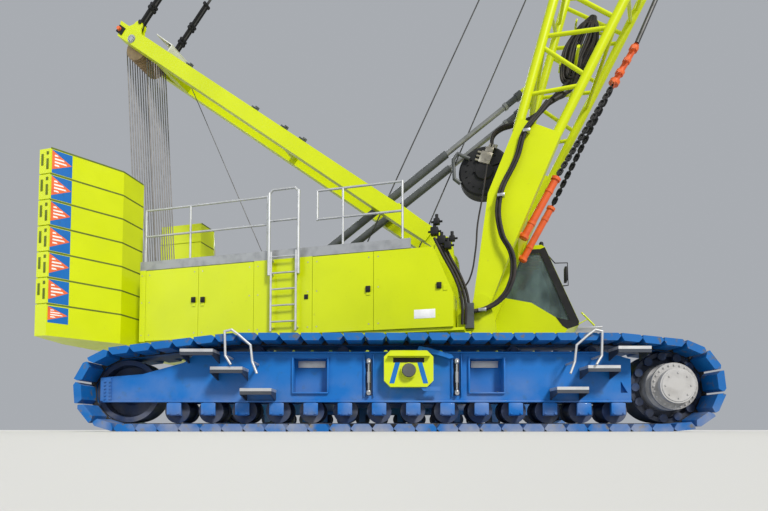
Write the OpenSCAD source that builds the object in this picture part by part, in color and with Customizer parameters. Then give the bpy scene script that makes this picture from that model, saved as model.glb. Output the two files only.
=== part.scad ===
// Crawler crane with a lattice boom, a live gantry and stacked counterweight.
// Tracks run along X, the crane's left is +Y, and the slew axis is the Z axis.

/* [Track] */
// Distance between the middles of the two tracks
track_gauge = 6000; // [5600:50:6400]
// Width of a track shoe
shoe_w = 1200; // [1000:50:1300]
// Thickness of a track shoe
shoe_t = 105; // [90:5:115]
// Shoes in one track
shoe_count = 64; // [60:1:66]
// Gap between two shoes on a straight run
shoe_gap = 8; // [5:1:15]
// Width of the link rail that the rollers run on
rail_w = 420; // [380:10:440]
// Height of the link rail above the ground
rail_h = 120; // [115:1:130]
// Place of the idler along the track
idler_x = -3950; // [-4100:10:-3850]
// Radius of the track round the idler
idler_r = 590; // [570:5:610]
// Place of the sprocket along the track
sprocket_x = 3930; // [3850:10:4050]
// Radius of the track round the sprocket
sprocket_r = 645; // [625:5:665]
// Height of the top run
top_z = 1380; // [1370:5:1420]

/* [Side frame] */
// Width of a side frame
frame_w = 600; // [560:10:640]
// Thickness of a side frame's outer webs
web_t = 70; // [50:5:80]
// Height of a side frame's top
frame_top = 1160; // [1130:5:1180]
// Lower rollers in one side frame
roller_count = 14; // [12:1:14]
// Radius of a lower roller
roller_r = 180; // [160:5:190]
// Radius of an upper roller
carrier_r = 90; // [80:5:100]

/* [Upper] */
// Turn of the upper on its ring, as parked
slew_rest = -14; // [-30:1:30]
// Outer radius of the slewing ring
ring_r = 1250; // [1150:10:1300]
// Height of the joint between the ring and the upper
ring_z = 1420; // [1410:5:1430]
// Height of the upper deck's top
deck_z = 1820; // [1800:5:1840]
// Height of the houses' roofs
roof_z = 3290; // [3200:10:3350]
// Half the width over the houses
house_y = 1500; // [1480:5:1520]
// Half the width of the gap between the houses
slot_y = 780; // [770:5:790]
// Rear end of the houses
house_back = -5000; // [-5050:10:-4950]
// Thickness of a house door
door_t = 40; // [30:1:50]
// Gap round a house door
door_gap = 8; // [6:1:12]
// Depth of the lockers behind the doors
locker_d = 520; // [400:10:560]
// Radius of the handrail tubes
rail_r = 21; // [17:1:25]

/* [Counterweight] */
// Half the gap between the two stacks
stack_y = 1060; // [1030:5:1100]
// Front plane of the stacks
stack_front = -5310; // [-5350:5:-5280]
// Slabs in one stack
slab_count = 6; // [4:1:7]
// Height of one slab
slab_h = 494; // [440:2:510]
// Groove between two slabs
slab_gap = 22; // [15:1:30]

/* [Gantry] */
// Height of the gantry's foot pins
gantry_pin_z = 3600; // [3560:10:3640]
// Angle of the gantry's legs, as parked
gantry_rest = 140.77; // [138:0.01:143]
// Length of a gantry leg from its foot pin to its lug pin
gantry_len = 9140; // [8900:10:9300]
// Outer half width of the gantry's legs
leg_out = 660; // [650:5:665]
// Inner half width of the gantry's legs
leg_in = 400; // [395:1:410]
// Depth of a gantry leg
leg_h = 320; // [280:10:340]
// Radius of the gantry's rope sheaves
sheave_r = 270; // [240:5:290]

/* [Boom] */
// Angle of the boom, as parked
boom_rest = 69; // [66:1:72]
// Place of the boom's foot pin in front of the slew axis
boom_pin_x = 1870; // [1850:5:1890]
// Height of the boom's foot pin
boom_pin_z = 2330; // [2310:5:2350]
// Radius of the boom's foot pins
boom_pin_r = 70; // [55:1:80]
// Half the width over the boom's chords
boom_y = 1000; // [980:5:1005]
// Radius of a boom chord
chord_r = 90; // [80:1:95]
// Radius of a lattice brace
brace_r = 38; // [32:1:42]
// Half the distance between two braces where they meet a chord
brace_gap = 90; // [85:1:110]
// Length of one lattice bay
bay = 1090; // [1050:5:1120]
// Length of the boom's foot section
foot_len = 10000; // [9800:50:10200]
// Length of the boom's middle section
insert_len = 12000; // [9000:500:13000]
// Length of the boom's head section
head_len = 10000; // [9500:100:10500]
// Radius of the pendants
pendant_r = 28; // [22:1:34]

/* [Backstop] */
// Angle of the backstops, as parked
stop_rest = 34.6; // [34:0.1:35]
// Middle of a backstop, from the crane's middle plane
stop_y = 290; // [285:1:295]
// Radius of a backstop tube
stop_r = 80; // [70:1:85]
// Length of a backstop tube
stop_len = 4450; // [4300:10:4500]
// Radius of a backstop rod
stop_rod_r = 52; // [45:1:58]

/* [Cab] */
// Inner side of the cab, from the crane's middle plane
cab_in = 1120; // [1110:5:1140]
// Outer side of the cab, from the crane's middle plane
cab_out = 2150; // [2100:10:2200]
// Thickness of the cab's walls
cab_wall = 50; // [40:1:60]
// Thickness of the cab's glass
glass_t = 10; // [8:1:14]

/* [Hidden] */
$fn = 32;
rail_t = 70;
pin_z = rail_h - rail_t / 2;
top_front = sprocket_x - 830;
top_back = idler_x + 1600;
wrap_steps = 20;
pin_r_sp = sprocket_r - pin_z;
pin_r_id = idler_r - pin_z;
run_z = top_z - pin_z;

// Slope of a track run that leaves a bend dx beside and dz above a wheel's centre
function drop(dx, dz, r) = atan2(dz, dx) - asin(r / norm([dx, dz]));
slope_sp = drop(sprocket_x - top_front, run_z - sprocket_r, pin_r_sp);
slope_id = drop(top_back - idler_x, run_z - idler_r, pin_r_id);
len_bottom = sprocket_x - idler_x;
len_wrap_sp = pin_r_sp * PI * (180 - slope_sp) / 180;
len_slope_sp = sqrt(pow(sprocket_x - top_front, 2) + pow(run_z - sprocket_r, 2) - pow(pin_r_sp, 2));
len_top = top_front - top_back;
len_slope_id = sqrt(pow(top_back - idler_x, 2) + pow(run_z - idler_r, 2) - pow(pin_r_id, 2));
len_wrap_id = pin_r_id * PI * (180 - slope_id) / 180;
end_1 = len_bottom;
end_2 = end_1 + len_wrap_sp;
end_3 = end_2 + len_slope_sp;
end_4 = end_3 + len_top;
end_5 = end_4 + len_slope_id;
link_pitch = (end_5 + len_wrap_id) / shoe_count;

function on_wheel(x, z, r, a) = [x + r * cos(a), z + r * sin(a)];
// Point of the pin line at a distance s along it, as [x, z]
function pin_point(s) =
  s < end_1 ? [idler_x + s, pin_z] :
  s < end_2 ? on_wheel(sprocket_x, sprocket_r, pin_r_sp, -90 + (s - end_1) / pin_r_sp * 180 / PI) :
  s < end_3 ? [top_front + (end_3 - s) * cos(slope_sp), run_z - (end_3 - s) * sin(slope_sp)] :
  s < end_4 ? [top_front - (s - end_3), run_z] :
  s < end_5 ? [top_back - (s - end_4) * cos(slope_id), run_z - (s - end_4) * sin(slope_id)] :
  on_wheel(idler_x, idler_r, pin_r_id, 90 + slope_id + (s - end_5) / pin_r_id * 180 / PI);
// Closed outline of the rail at a distance off outside the pin line
function rail_loop(off) = concat(
  [for (i = [0 : wrap_steps])
    on_wheel(sprocket_x, sprocket_r, pin_r_sp + off, -90 + i / wrap_steps * (180 - slope_sp))],
  [[top_front + off * tan(slope_sp / 2), run_z + off], [top_back - off * tan(slope_id / 2), run_z + off]],
  [for (i = [0 : wrap_steps])
    on_wheel(idler_x, idler_r, pin_r_id + off, 90 + slope_id + i / wrap_steps * (180 - slope_id))]);

roller_z = rail_h + roller_r;
roller_first = idler_x + 730;
roller_last = sprocket_x - 760;
function roller_x(i) = roller_first + i * (roller_last - roller_first) / (roller_count - 1);
roller_pitch = roller_x(1) - roller_x(0);
carrier_z = top_z - rail_h - carrier_r - 2;
carrier_xs = [-2050, -800, 450, 1700, 2850];
frame_out = frame_w / 2;
channel_y = frame_out - web_t;

upper_z = ring_z + 8;
plate_t = 50;
roof_front = 1060;
house_front = 1420;
house_knee = 2420;
seams = [-4860, -3640, -2430, -1220, -30];
catwalk_z = roof_z + 180;
handrail_z = 4560;
midrail_z = 4010;

gantry_pin_x = 1150;
gantry_pin_r = 60;
lug_gap = 8;
gantry_lug_t = 60;
foot_in = leg_in + gantry_lug_t + 2 * lug_gap;
foot_out = leg_out - gantry_lug_t;
boom_leg_in = 740;
boom_leg_out = boom_y;
boom_lug_t = 60;
boom_lug_in = boom_leg_in - lug_gap - boom_lug_t;
boom_lug_out = boom_leg_out + lug_gap;

chord_y = boom_y - chord_r;
boom_len = foot_len + insert_len + head_len;
insert_u = foot_len;
head_u = foot_len + insert_len;
taper_u = 3200;
knee_u = foot_len - 250;
head_knee_u = head_u + 4000;
tip_u = boom_len - 400;
// Chord lines along the boom: [u, v]
rear_line = [[taper_u, 509], [knee_u, 1092], [head_knee_u, 1092], [tip_u, 420]];
front_line = [[taper_u, -178], [knee_u, -905], [head_knee_u, -905], [tip_u, -260]];
width_line = [[taper_u, chord_y], [head_knee_u, chord_y], [tip_u, 470]];
function chord(u, row, side) = [u, side * lookup(u, width_line), lookup(u, row)];

stop_pin = [-2500, 3050];
stop_start = stop_pin[0];
rod_back = 1595;
rod_len = 4300;
seat_gap = 337;
// Place of a point of the upper's side view in the boom's own frame
function in_boom(x, z) = [(x - boom_pin_x) * cos(boom_rest) + (z - boom_pin_z) * sin(boom_rest),
  (z - boom_pin_z) * cos(boom_rest) - (x - boom_pin_x) * sin(boom_rest)];
stop_reach = rod_back + rod_len + seat_gap;
stop_seat = in_boom(stop_pin[0] + stop_reach * cos(stop_rest), stop_pin[1] + stop_reach * sin(stop_rest));

base_z = deck_z - 50;
base_t = 250;
thin_t = 340;
stack_z = base_z + base_t;
stack_top = stack_z + thin_t + slab_count * slab_h;

// Places and helpers
module on_upper() {
  rotate([0, 0, slew_rest]) children();
}
module on_boom() {
  on_upper() translate([boom_pin_x, 0, boom_pin_z]) rotate([0, -boom_rest, 0]) children();
}
module on_gantry() {
  on_upper() translate([gantry_pin_x, 0, gantry_pin_z]) rotate([0, -gantry_rest, 0]) children();
}
module on_stop() {
  on_upper() translate([stop_pin[0], 0, stop_pin[1]]) rotate([0, -stop_rest, 0]) children();
}
module both_sides() {
  children();
  mirror([0, 1, 0]) children();
}
// A flat outline drawn in X and Z, made a plate from y0 to y1
module plate(y0, y1) {
  translate([0, y1, 0]) rotate([90, 0, 0]) linear_extrude(y1 - y0) children();
}
// A flat outline drawn in X and Y, made a slab from z0 to z1
module slab(z0, z1) {
  translate([0, 0, z0]) linear_extrude(z1 - z0) children();
}
module block(lo, hi) {
  translate(lo) cube(hi - lo);
}
// A round bar of radius r from p to q
module bar(p, q, r) {
  v = q - p;
  translate(p) rotate([0, acos(v.z / norm(v)), atan2(v.y, v.x)]) cylinder(h = norm(v), r = r);
}
// A round bar across the crane at [x, z], from y0 to y1
module pin(x, z, y0, y1, r) {
  translate([x, y1, z]) rotate([90, 0, 0]) cylinder(h = y1 - y0, r = r);
}
module turned_x(x, z) {
  translate([x, 0, z]) rotate([90, 0, 0]) rotate_extrude() children();
}
function unit(v) = v / norm(v);
// The outline p moved inwards by d, for points that run anticlockwise
function inset(p, d) = [for (i = [0 : len(p) - 1])
  let (a = p[(i + len(p) - 1) % len(p)], b = p[i], c = p[(i + 1) % len(p)],
    e = unit(b - a), f = unit(c - b), n = [-e.y, e.x], m = [-f.y, f.x])
  b + d * (n + m) / (1 + n * m)];

// Tracks
module shoe(i) {
  p = pin_point(i * link_pitch);
  q = pin_point((i + 1 == shoe_count ? 0 : i + 1) * link_pitch);
  half = (link_pitch - shoe_gap) / 2;
  low = -pin_z;
  translate([(p[0] + q[0]) / 2, 0, (p[1] + q[1]) / 2]) rotate([0, -atan2(q[1] - p[1], q[0] - p[0]), 0])
    plate(-shoe_w / 2, shoe_w / 2) polygon([[-half + 38, low], [half, low], [half, low + 45],
      [half - 45, low + shoe_t], [-half + 45, low + shoe_t], [-half, low + 45], [-half, low + 32]]);
}
module track() {
  translate([0, -track_gauge / 2, 0]) {
    plate(-rail_w / 2, rail_w / 2) difference() {
      polygon(rail_loop(rail_t / 2));
      polygon(rail_loop(-rail_t / 2));
    }
    for (i = [0 : shoe_count - 1]) shoe(i);
  }
}
module track_right() {
  color("#1d5aa6") track();
}
module track_left() {
  color("#1d5aa6") mirror([0, 1, 0]) track();
}

// Side frames, drawn for the right side and mirrored for the left
module frame_outline() {
  polygon([[idler_x - 350, 420], [sprocket_x - 550, 420], [sprocket_x - 550, 1050],
    [sprocket_x - 930, frame_top], [idler_x + 1050, frame_top], [idler_x + 850, 1000],
    [idler_x + 250, 830], [idler_x - 350, 780]]);
}
module side_frame() {
  bay_x = idler_x + 520;
  translate([0, -track_gauge / 2, 0]) difference() {
    union() {
      plate(-frame_out, -channel_y) frame_outline();
      plate(channel_y, frame_out) frame_outline();
      plate(-channel_y, channel_y) intersection() {
        frame_outline();
        translate([bay_x, 500]) square([8000, 2000]);
      }
      for (i = [0 : roller_count - 1]) {
        block([roller_x(i) - 75, -frame_out - 30, 225], [roller_x(i) + 75, -channel_y, 430]);
        block([roller_x(i) - 75, channel_y, 225], [roller_x(i) + 75, frame_out + 30, 430]);
      }
      plate(frame_out - 5, frame_out + 80) union() {
        polygon([[sprocket_x - 900, 420], [sprocket_x - 300, 400], [sprocket_x, sprocket_r - 330],
          [sprocket_x, sprocket_r + 330], [sprocket_x - 600, 1050], [sprocket_x - 900, 1100]]);
        translate([sprocket_x, sprocket_r]) circle(r = 340);
      }
      plate(-frame_out - 30, -frame_out + 5) translate([idler_x - 340, 440]) square([150, 330]);
    }
    for (x = carrier_xs) block([x - 125, -channel_y, carrier_z - carrier_r - 25], [x + 125, channel_y, 1300]);
    for (x = [-1265, 1285]) block([x - 240, -frame_out - 1, 560], [x + 240, -frame_out + 160, 1060]);
    plate(-frame_out - 1, -frame_out + 60) polygon([[sprocket_x - 700, 730], [sprocket_x - 600, 560],
      [sprocket_x - 700, 560]]);
  }
}
module side_frame_right() {
  color("#1f5fae") side_frame();
}
module side_frame_left() {
  color("#1f5fae") mirror([0, 1, 0]) side_frame();
}
module idler() {
  wheel_r = idler_r - rail_h - 14;
  translate([0, -track_gauge / 2, 0]) turned_x(idler_x, idler_r) polygon([[0, -channel_y], [120, -channel_y],
    [120, -150], [200, -70], [wheel_r - 90, -70], [wheel_r - 70, -190], [wheel_r, -190], [wheel_r, 190],
    [wheel_r - 70, 190], [wheel_r - 90, 70], [200, 70], [120, 150], [120, channel_y], [0, channel_y]]);
}
module idlers() {
  color("#2a63ad") both_sides() idler();
}
// Sprocket and final drive, turned round one axle: [radius, distance out from the track's middle]
module drive() {
  r = sprocket_r - rail_h - 8;
  translate([0, -track_gauge / 2, 0]) turned_x(sprocket_x, sprocket_r) polygon([[0, -frame_out + 5],
    [340, -frame_out + 5], [340, -200], [r, -200], [r, 200], [r - 60, 200], [r - 80, 120], [345, 120],
    [345, 300], [300, 320], [300, 400], [335, 410], [335, 440], [230, 450], [220, 520], [0, 520]]);
}
module drives() {
  color("#b9bfc2") both_sides() drive();
}
module rollers() {
  color("#3a4a5c") both_sides() translate([0, -track_gauge / 2, 0]) {
    for (i = [0 : roller_count - 1]) turned_x(roller_x(i), roller_z) polygon([[0, -channel_y], [60, -channel_y],
      [60, -215], [roller_r, -215], [roller_r, -150], [roller_r - 25, -140], [roller_r - 25, 140],
      [roller_r, 150], [roller_r, 215], [60, 215], [60, channel_y], [0, channel_y]]);
    for (x = carrier_xs) turned_x(x, carrier_z) polygon([[0, -channel_y], [45, -channel_y],
      [45, -180], [carrier_r, -180], [carrier_r, 180], [45, 180], [45, channel_y], [0, channel_y]]);
  }
}
// Steps on a side frame: [middle x, width, height]
step_table = [[-2810, 460, 1150], [-2390, 450, 900], [-1980, 440, 600],
  [3290, 460, 1190], [2860, 450, 920], [2420, 440, 620]];
module step_tread(x, w, z) {
  y_out = -shoe_w / 2 - 30;
  block([x - w / 2, y_out, z - 30], [x + w / 2, -frame_out, z]);
  block([x - w / 2, y_out, z - 90], [x + w / 2, y_out + 12, z]);
  for (e = [-1, 1]) plate_x(x + e * (w / 2 - 10) - 8, 16) polygon([[y_out, z - 90], [-frame_out, z - 165],
    [-frame_out, z - 5], [y_out, z - 5]]);
}
// A flat outline drawn in Y and Z, made a plate t thick from x0
module plate_x(x0, t) {
  translate([x0, 0, 0]) rotate([90, 0, 90]) linear_extrude(t) children();
}
// Grab hoop: bent tubes through [x, how far out from the shoe's edge, height], mirrored by a turn of -1 or 1
hoop_line = [[-47, 60, 925], [-130, 40, 1050], [-144, 40, 1390], [-47, 40, 1415], [50, 40, 1343],
  [218, 40, 1197], [245, 40, 967], [315, 60, 800]];
module hoop(x, turn) {
  points = [for (p = hoop_line) [x + turn * p[0], -shoe_w / 2 - p[1], p[2]]];
  for (i = [1 : len(points) - 1]) bar(points[i - 1], points[i], 17);
  for (i = [1 : len(points) - 2]) translate(points[i]) sphere(r = 18);
  for (p = [points[1], points[len(points) - 2]]) bar(p, [p.x, -frame_out, p.z], 16);
}
module steps() {
  color("#aab0b2") both_sides() translate([0, -track_gauge / 2, 0]) {
    for (s = step_table) step_tread(s[0], s[1], s[2]);
    hoop(-2270, 1);
    hoop(2690, -1);
  }
}
// Charging box on the right side frame, with its socket
module charging_inlet() {
  y0 = -track_gauge / 2 - frame_out;
  color("#b8c423") difference() {
    union() {
      plate(y0 - 180, y0) polygon([[-200, 720], [-110, 630], [410, 630], [500, 720], [500, 1060],
        [410, 1150], [-110, 1150], [-200, 1060]]);
      plate(y0 - 260, y0 - 170) polygon([[-150, 1060], [450, 1060], [400, 1120], [-100, 1120]]);
      pin(150, 860, y0 - 240, y0 - 170, 110);
    }
    pin(150, 860, y0 - 241, y0 - 120, 75);
  }
}

// Car body
module car_body() {
  half = track_gauge / 2 - frame_out;
  color("#1f5fae") {
    block([-1350, -1850, 550], [1350, 1850, 1120]);
    translate([0, 0, 1000]) cylinder(h = ring_z - 130 - 1000, r = ring_r + 60);
    for (e = [-1, 1]) {
      plate_x(e * 1350 - 400, 800) polygon([[-half, 500], [half, 500], [half, 1000], [1850, 1120],
        [-1850, 1120], [-half, 1000]]);
    }
  }
}
module slew_ring() {
  color("#8d9296") difference() {
    union() {
      translate([0, 0, ring_z - 130]) cylinder(h = 130, r = ring_r - 40);
      translate([0, 0, ring_z - 130]) cylinder(h = 60, r = ring_r);
    }
    translate([0, 0, ring_z - 131]) cylinder(h = 140, r = ring_r - 200);
  }
}

// Upper frame: deck, girders, foot lugs and tail
module slewing_frame() {
  color("#b8c423") on_upper() {
    translate([0, 0, upper_z]) cylinder(h = 150, r = ring_r);
    block([-1700, -1250, upper_z + 120], [1700, 1250, deck_z - 40]);
    block([house_back, -house_y + 40, deck_z - plate_t], [1600, house_y - 40, deck_z]);
    both_sides() {
      plate(slot_y - 130, slot_y - 70) polygon([[-6000, stack_z], [stack_front, stack_z], [house_back, deck_z - 5],
        [1600, deck_z - 5], [1600, 2300], [-6000, 2600]]);
      plate(boom_lug_in, boom_lug_in + boom_lug_t) boom_lug_outline();
      plate(boom_lug_out, boom_lug_out + boom_lug_t) boom_lug_outline();
      plate(leg_in, leg_in + gantry_lug_t) gantry_lug_outline();
      plate(foot_out + lug_gap, foot_out + lug_gap + gantry_lug_t) gantry_lug_outline();
      pin(gantry_pin_x, gantry_pin_z, leg_in, foot_out + lug_gap + gantry_lug_t, gantry_pin_r);
      pin(boom_pin_x, boom_pin_z, boom_lug_in, boom_lug_out + boom_lug_t, boom_pin_r);
    }
    block([1500, -boom_lug_out - boom_lug_t, upper_z + 150], [2120, boom_lug_out + boom_lug_t, 2000]);
    block([-6000, -slot_y + 130, 2150], [-5200, slot_y - 130, 2300]);
    block([-3000, -slot_y + 100, deck_z - 5], [-2700, slot_y - 100, 2500]);
    both_sides() for (y = [stop_y - 150, stop_y + 100]) plate(y, y + 30) union() {
      polygon([[-3000, 2300], [-2700, 2300], [stop_start + 130, stop_pin[1]], [stop_start - 130, stop_pin[1]]]);
      translate(stop_pin) circle(r = 130);
    }
    both_sides() pin(stop_pin[0], stop_pin[1], stop_y - 150, stop_y + 130, 45);
  }
}
module boom_lug_outline() {
  union() {
    polygon([[house_front + 20, deck_z - 100], [2120, deck_z - 100], [2120, 2000],
      [boom_pin_x + 150, boom_pin_z], [boom_pin_x - 150, boom_pin_z], [house_front + 20, 2100]]);
    translate([boom_pin_x, boom_pin_z]) circle(r = 150);
  }
}
module gantry_lug_outline() {
  union() {
    polygon([[500, deck_z - 5], [1500, deck_z - 5], [gantry_pin_x + 160, gantry_pin_z],
      [gantry_pin_x - 160, gantry_pin_z]]);
    translate([gantry_pin_x, gantry_pin_z]) circle(r = 160);
  }
}

// Houses
module house_outline() {
  polygon([[house_back, deck_z], [house_front, deck_z], [house_front, house_knee],
    [roof_front, roof_z], [house_back, roof_z]]);
}
// Lockers behind the doors: [back, front]
lockers = [[seams[0] + 60, seams[2] - 60], [seams[3] + 60, seams[4] - 60], [seams[4] + 60, 940]];
module right_house() {
  face = -house_y + door_t + 4;
  color("#b8c423") on_upper() {
    difference() {
      plate(face, -slot_y) house_outline();
      for (k = lockers) block([k[0], face - 1, deck_z + 80], [k[1], face + locker_d, roof_z - 90]);
    }
    block([house_back, -house_y, deck_z], [seams[0] - door_gap / 2, face + 1, roof_z]);
    block([seams[2] + door_gap / 2, -house_y, deck_z], [seams[3] - door_gap / 2, face + 1, roof_z]);
  }
}
module left_house() {
  color("#b8c423") on_upper() difference() {
    plate(slot_y, house_y) polygon([[house_back, deck_z], [950, deck_z], [950, house_knee],
      [800, roof_z], [house_back, roof_z]]);
    for (x = seams) block([x - 4, house_y - 12, deck_z - 1], [x + 4, house_y + 1, roof_z + 1]);
  }
}
module battery_block() {
  color("#5a5d5f") on_upper() block([seams[0] + 110, -house_y + 190, deck_z + 80],
    [seams[2] - 110, -house_y + door_t + 4 + locker_d, roof_z - 190]);
}
// Outline of a door between x0 and x1, cut by the house's own outline
module door(x0, x1) {
  color("#b8c423") on_upper() plate(-house_y, -house_y + door_t) intersection() {
    house_outline();
    translate([x0 + door_gap / 2, deck_z + 12]) square([x1 - x0 - door_gap, roof_z - deck_z - 24]);
  }
}
module latch(x) {
  color("#3c3f41") on_upper() block([x - 35, -house_y - 12, 2480], [x + 35, -house_y + 2, 2570]);
}
module door_a() {
  door(seams[0], seams[1]);
  latch(seams[1] - 100);
}
module door_b() {
  door(seams[1], seams[2]);
  latch(seams[1] + 100);
}
module door_d() {
  door(seams[3], seams[4]);
  latch(seams[4] - 100);
}
module door_e() {
  door(seams[4], house_front);
  latch(house_front - 140);
}
module winches() {
  color("#8f9894") on_upper() for (x = [-1330, 50]) turned_x(x, 2340) polygon([[0, -520],
    [120, -520], [120, -480], [430, -480], [430, -440], [300, -440], [300, 440], [430, 440],
    [430, 480], [120, 480], [120, 520], [0, 520]]);
  color("#b8c423") on_upper() for (x = [-1330, 50]) both_sides() plate(520, 560) polygon([[x - 350, deck_z],
    [x + 350, deck_z], [x + 150, 2480], [x - 150, 2480]]);
}
module catwalk() {
  color("#a9aeb0") on_upper() both_sides() {
    block([house_back, house_y - 20, roof_z], [roof_front - 400, house_y, catwalk_z]);
    block([house_back, slot_y + 30, roof_z], [roof_front - 400, house_y - 15, roof_z + 30]);
  }
}
module rail_run(x0, x1, posts) {
  y = house_y - 60;
  for (z = [midrail_z, handrail_z]) bar([x0, y, z], [x1, y, z], rail_r);
  for (x = [x0, x1]) translate([x, y, handrail_z]) sphere(r = rail_r);
  for (x = posts) bar([x, y, roof_z + 30], [x, y, handrail_z], rail_r);
}
module railings() {
  color("#a9aeb0") on_upper() both_sides() {
    rail_run(-4920, -2180, [-4920, -3880, -2180]);
    rail_run(-1150, 500, [-640, 500]);
    bar([-1150, house_y - 60, midrail_z - rail_r], [-1150, house_y - 60, handrail_z], rail_r);
  }
}
module ladder() {
  y = -house_y - 100;
  color("#a9aeb0") on_upper() {
    for (e = [-1, 1]) {
      x = -1765 + e * 300;
      bar([x, y, 2950], [x, y, 4530], rail_r + 9);
      translate([x, y, 4530]) sphere(r = rail_r + 10);
      bar([x, y, 4530], [x - e * 70, y, 4600], rail_r + 2);
      translate([x - e * 70, y, 4600]) sphere(r = rail_r + 3);
      bar([x - e * 45, y, 1880], [x - e * 45, y, 3400], rail_r);
      for (z = [1950, 2980, 3250]) bar([x - e * 45, y, z], [x - e * 45, -house_y, z], rail_r - 2);
      for (z = [3000, 3330]) bar([x, y, z], [x - e * 45, y, z], rail_r - 3);
    }
    for (i = [0 : 4]) bar([-2020, y, 2060 + 310 * i], [-1510, y, 2060 + 310 * i], 16);
    bar([-1995, y, 4600], [-1535, y, 4600], rail_r + 2);
    bar([-2065, y, 4000], [-1465, y, 4000], rail_r);
  }
}

// Counterweight
wing = [stack_front - 660, 2780];
tail_x = stack_front - 1180;
module stack_outline(in) {
  polygon(inset([[stack_front, stack_y], [stack_front, stack_y + 600], wing, [wing.x - 260, wing.y],
    [tail_x, 1900], [tail_x, stack_y]], in));
}
module counterweight_base() {
  color("#b8c423") on_upper() {
    both_sides() slab(base_z, stack_z + thin_t) stack_outline(0);
    block([tail_x, -stack_y - 5, base_z], [stack_front - 300, stack_y + 5, stack_z]);
  }
}
module counterweight_slabs() {
  z0 = stack_z + thin_t;
  color("#b8c423") on_upper() both_sides() {
    slab(z0, z0 + slab_count * slab_h - slab_gap - 5) stack_outline(slab_gap);
    for (i = [0 : slab_count - 1]) slab(z0 + i * slab_h + slab_gap, z0 + (i + 1) * slab_h) stack_outline(0);
  }
}
module luffing_block() {
  x = -5730;
  color("#a58d6a") on_upper() {
    for (y = [-330 : 110 : 330]) turned_x(x, 2900) translate([0, y]) polygon([[0, -40], [sheave_r, -40],
      [sheave_r, -28], [sheave_r - 40, -8], [sheave_r - 40, 8], [sheave_r, 28], [sheave_r, 40], [0, 40]]);
    pin(x, 2900, -450, 450, 50);
  }
  color("#b8c423") on_upper() both_sides() plate(410, 450) polygon([[x - 200, 2300], [x + 200, 2300],
    [x + 150, 3020], [x - 150, 3020]]);
}
module cab_support() {
  color("#b8c423") on_upper() {
    block([1700, boom_lug_out + boom_lug_t, 1600], [2500, 2000, 1740]);
    for (y = [1250, 1900]) plate(y, y + 40) union() {
      polygon([[1780, 1735], [1960, 1735], [1930, 1800], [1810, 1800]]);
      translate([tilt_pin.x, tilt_pin.y]) circle(r = 50);
    }
    pin(tilt_pin.x, tilt_pin.y, 1200, 1990, 25);
  }
}
module hose_bracket() {
  color("#b8c423") on_upper() {
    block([1600, -1200, 1850], [1750, -1120, 2300]);
    block([1600, -1200, 1850], [1750, -boom_lug_out - boom_lug_t, 1950]);
  }
}
module gantry_cylinders() {
  color("#8f9894") on_upper() translate([-2600, 0, 3240]) rotate([0, -31, 0]) {
    for (y = [-75, 75]) {
      bar([0, y, 0], [1050, y, 0], 55);
      bar([1050, y, 0], [1300, y, 0], 32);
      translate([1300, y + 25, 0]) rotate([90, 0, 0]) cylinder(h = 50, r = 60);
    }
  }
  color("#b8c423") on_upper() block([-2780, -130, 2500], [-2540, 130, 3240]);
}

// Cab
tilt_pin = [1870, 1800];
cab_outline = [[1800, 1860], [3280, 1860], [3430, 1960], [3560, 2180], [3790, 2250], [3800, 2330],
  [3120, 4000], [3050, 4050], [2500, 4080], [1950, 4060], [1800, 3950]];
cab_window = [[2010, 2990], [2820, 2790], [3330, 2440], [3610, 2360], [3030, 3860], [2010, 3880]];
door_back = 2380;
door_front = 3330;
module cab_shell() {
  color("#b8c423") on_upper() difference() {
    plate(cab_in, cab_out) polygon(cab_outline);
    plate(cab_in + cab_wall, cab_out - cab_wall) polygon(inset(cab_outline, cab_wall));
    block([3200, cab_in + 90, 2380], [4000, cab_out - 90, 3900]);
    block([2250, cab_in + 200, 3900], [3000, cab_out - 200, 4200]);
    block([1700, cab_in + 150, 2800], [1900, cab_out - 150, 3800]);
    plate(cab_in - 1, cab_in + cab_wall + 1) polygon(cab_window);
    block([door_back, cab_out - cab_wall - 1, 2000], [door_front, cab_out + 1, 3880]);
  }
  color("#b8c423") on_upper() for (y = [1300, 1850]) plate(y, y + 40) difference() {
    union() {
      polygon([[tilt_pin.x - 45, tilt_pin.y], [tilt_pin.x + 45, tilt_pin.y], [tilt_pin.x + 120, 1865],
        [tilt_pin.x - 60, 1865]]);
      translate(tilt_pin) circle(r = 48);
    }
    translate(tilt_pin) circle(r = 28);
  }
}
module cab_glass() {
  color([0.5, 0.6, 0.65, 0.4]) on_upper() {
    intersection() {
      plate(cab_in + 90, cab_out - 90) difference() {
        polygon(inset(cab_outline, 15));
        polygon(inset(cab_outline, 15 + glass_t));
      }
      block([3200, cab_in, 2380], [4000, cab_out, 3900]);
    }
    block([2250, cab_in + 200, 4020], [3000, cab_out - 200, 4020 + glass_t]);
    block([1815, cab_in + 150, 2800], [1815 + glass_t, cab_out - 150, 3800]);
    plate(cab_in + 15, cab_in + 15 + glass_t) polygon(cab_window);
  }
}
module cab_seat() {
  y = (cab_in + cab_out) / 2;
  color("#2b2d2f") on_upper() {
    block([2150, y - 250, 1910], [2600, y + 250, 2330]);
    block([2100, y - 260, 2330], [2650, y + 260, 2460]);
    plate(y - 240, y + 240) polygon([[2080, 2400], [2210, 2430], [2080, 3180], [1980, 3160]]);
  }
}
module cab_door() {
  y = cab_out + 6;
  color("#b8c423") on_upper() {
    difference() {
      block([door_back - 30, y, 1970], [door_front + 30, y + 35, 3910]);
      block([door_back + 60, y - 1, 2500], [door_front - 60, y + 36, 3820]);
    }
    block([door_front - 60, y + 30, 2560], [door_front - 30, y + 75, 2900]);
  }
}
module cab_door_glass() {
  color([0.5, 0.6, 0.65, 0.4]) on_upper() block([door_back + 60, cab_out + 18, 2500],
    [door_front - 60, cab_out + 18 + glass_t, 3820]);
}

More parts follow.
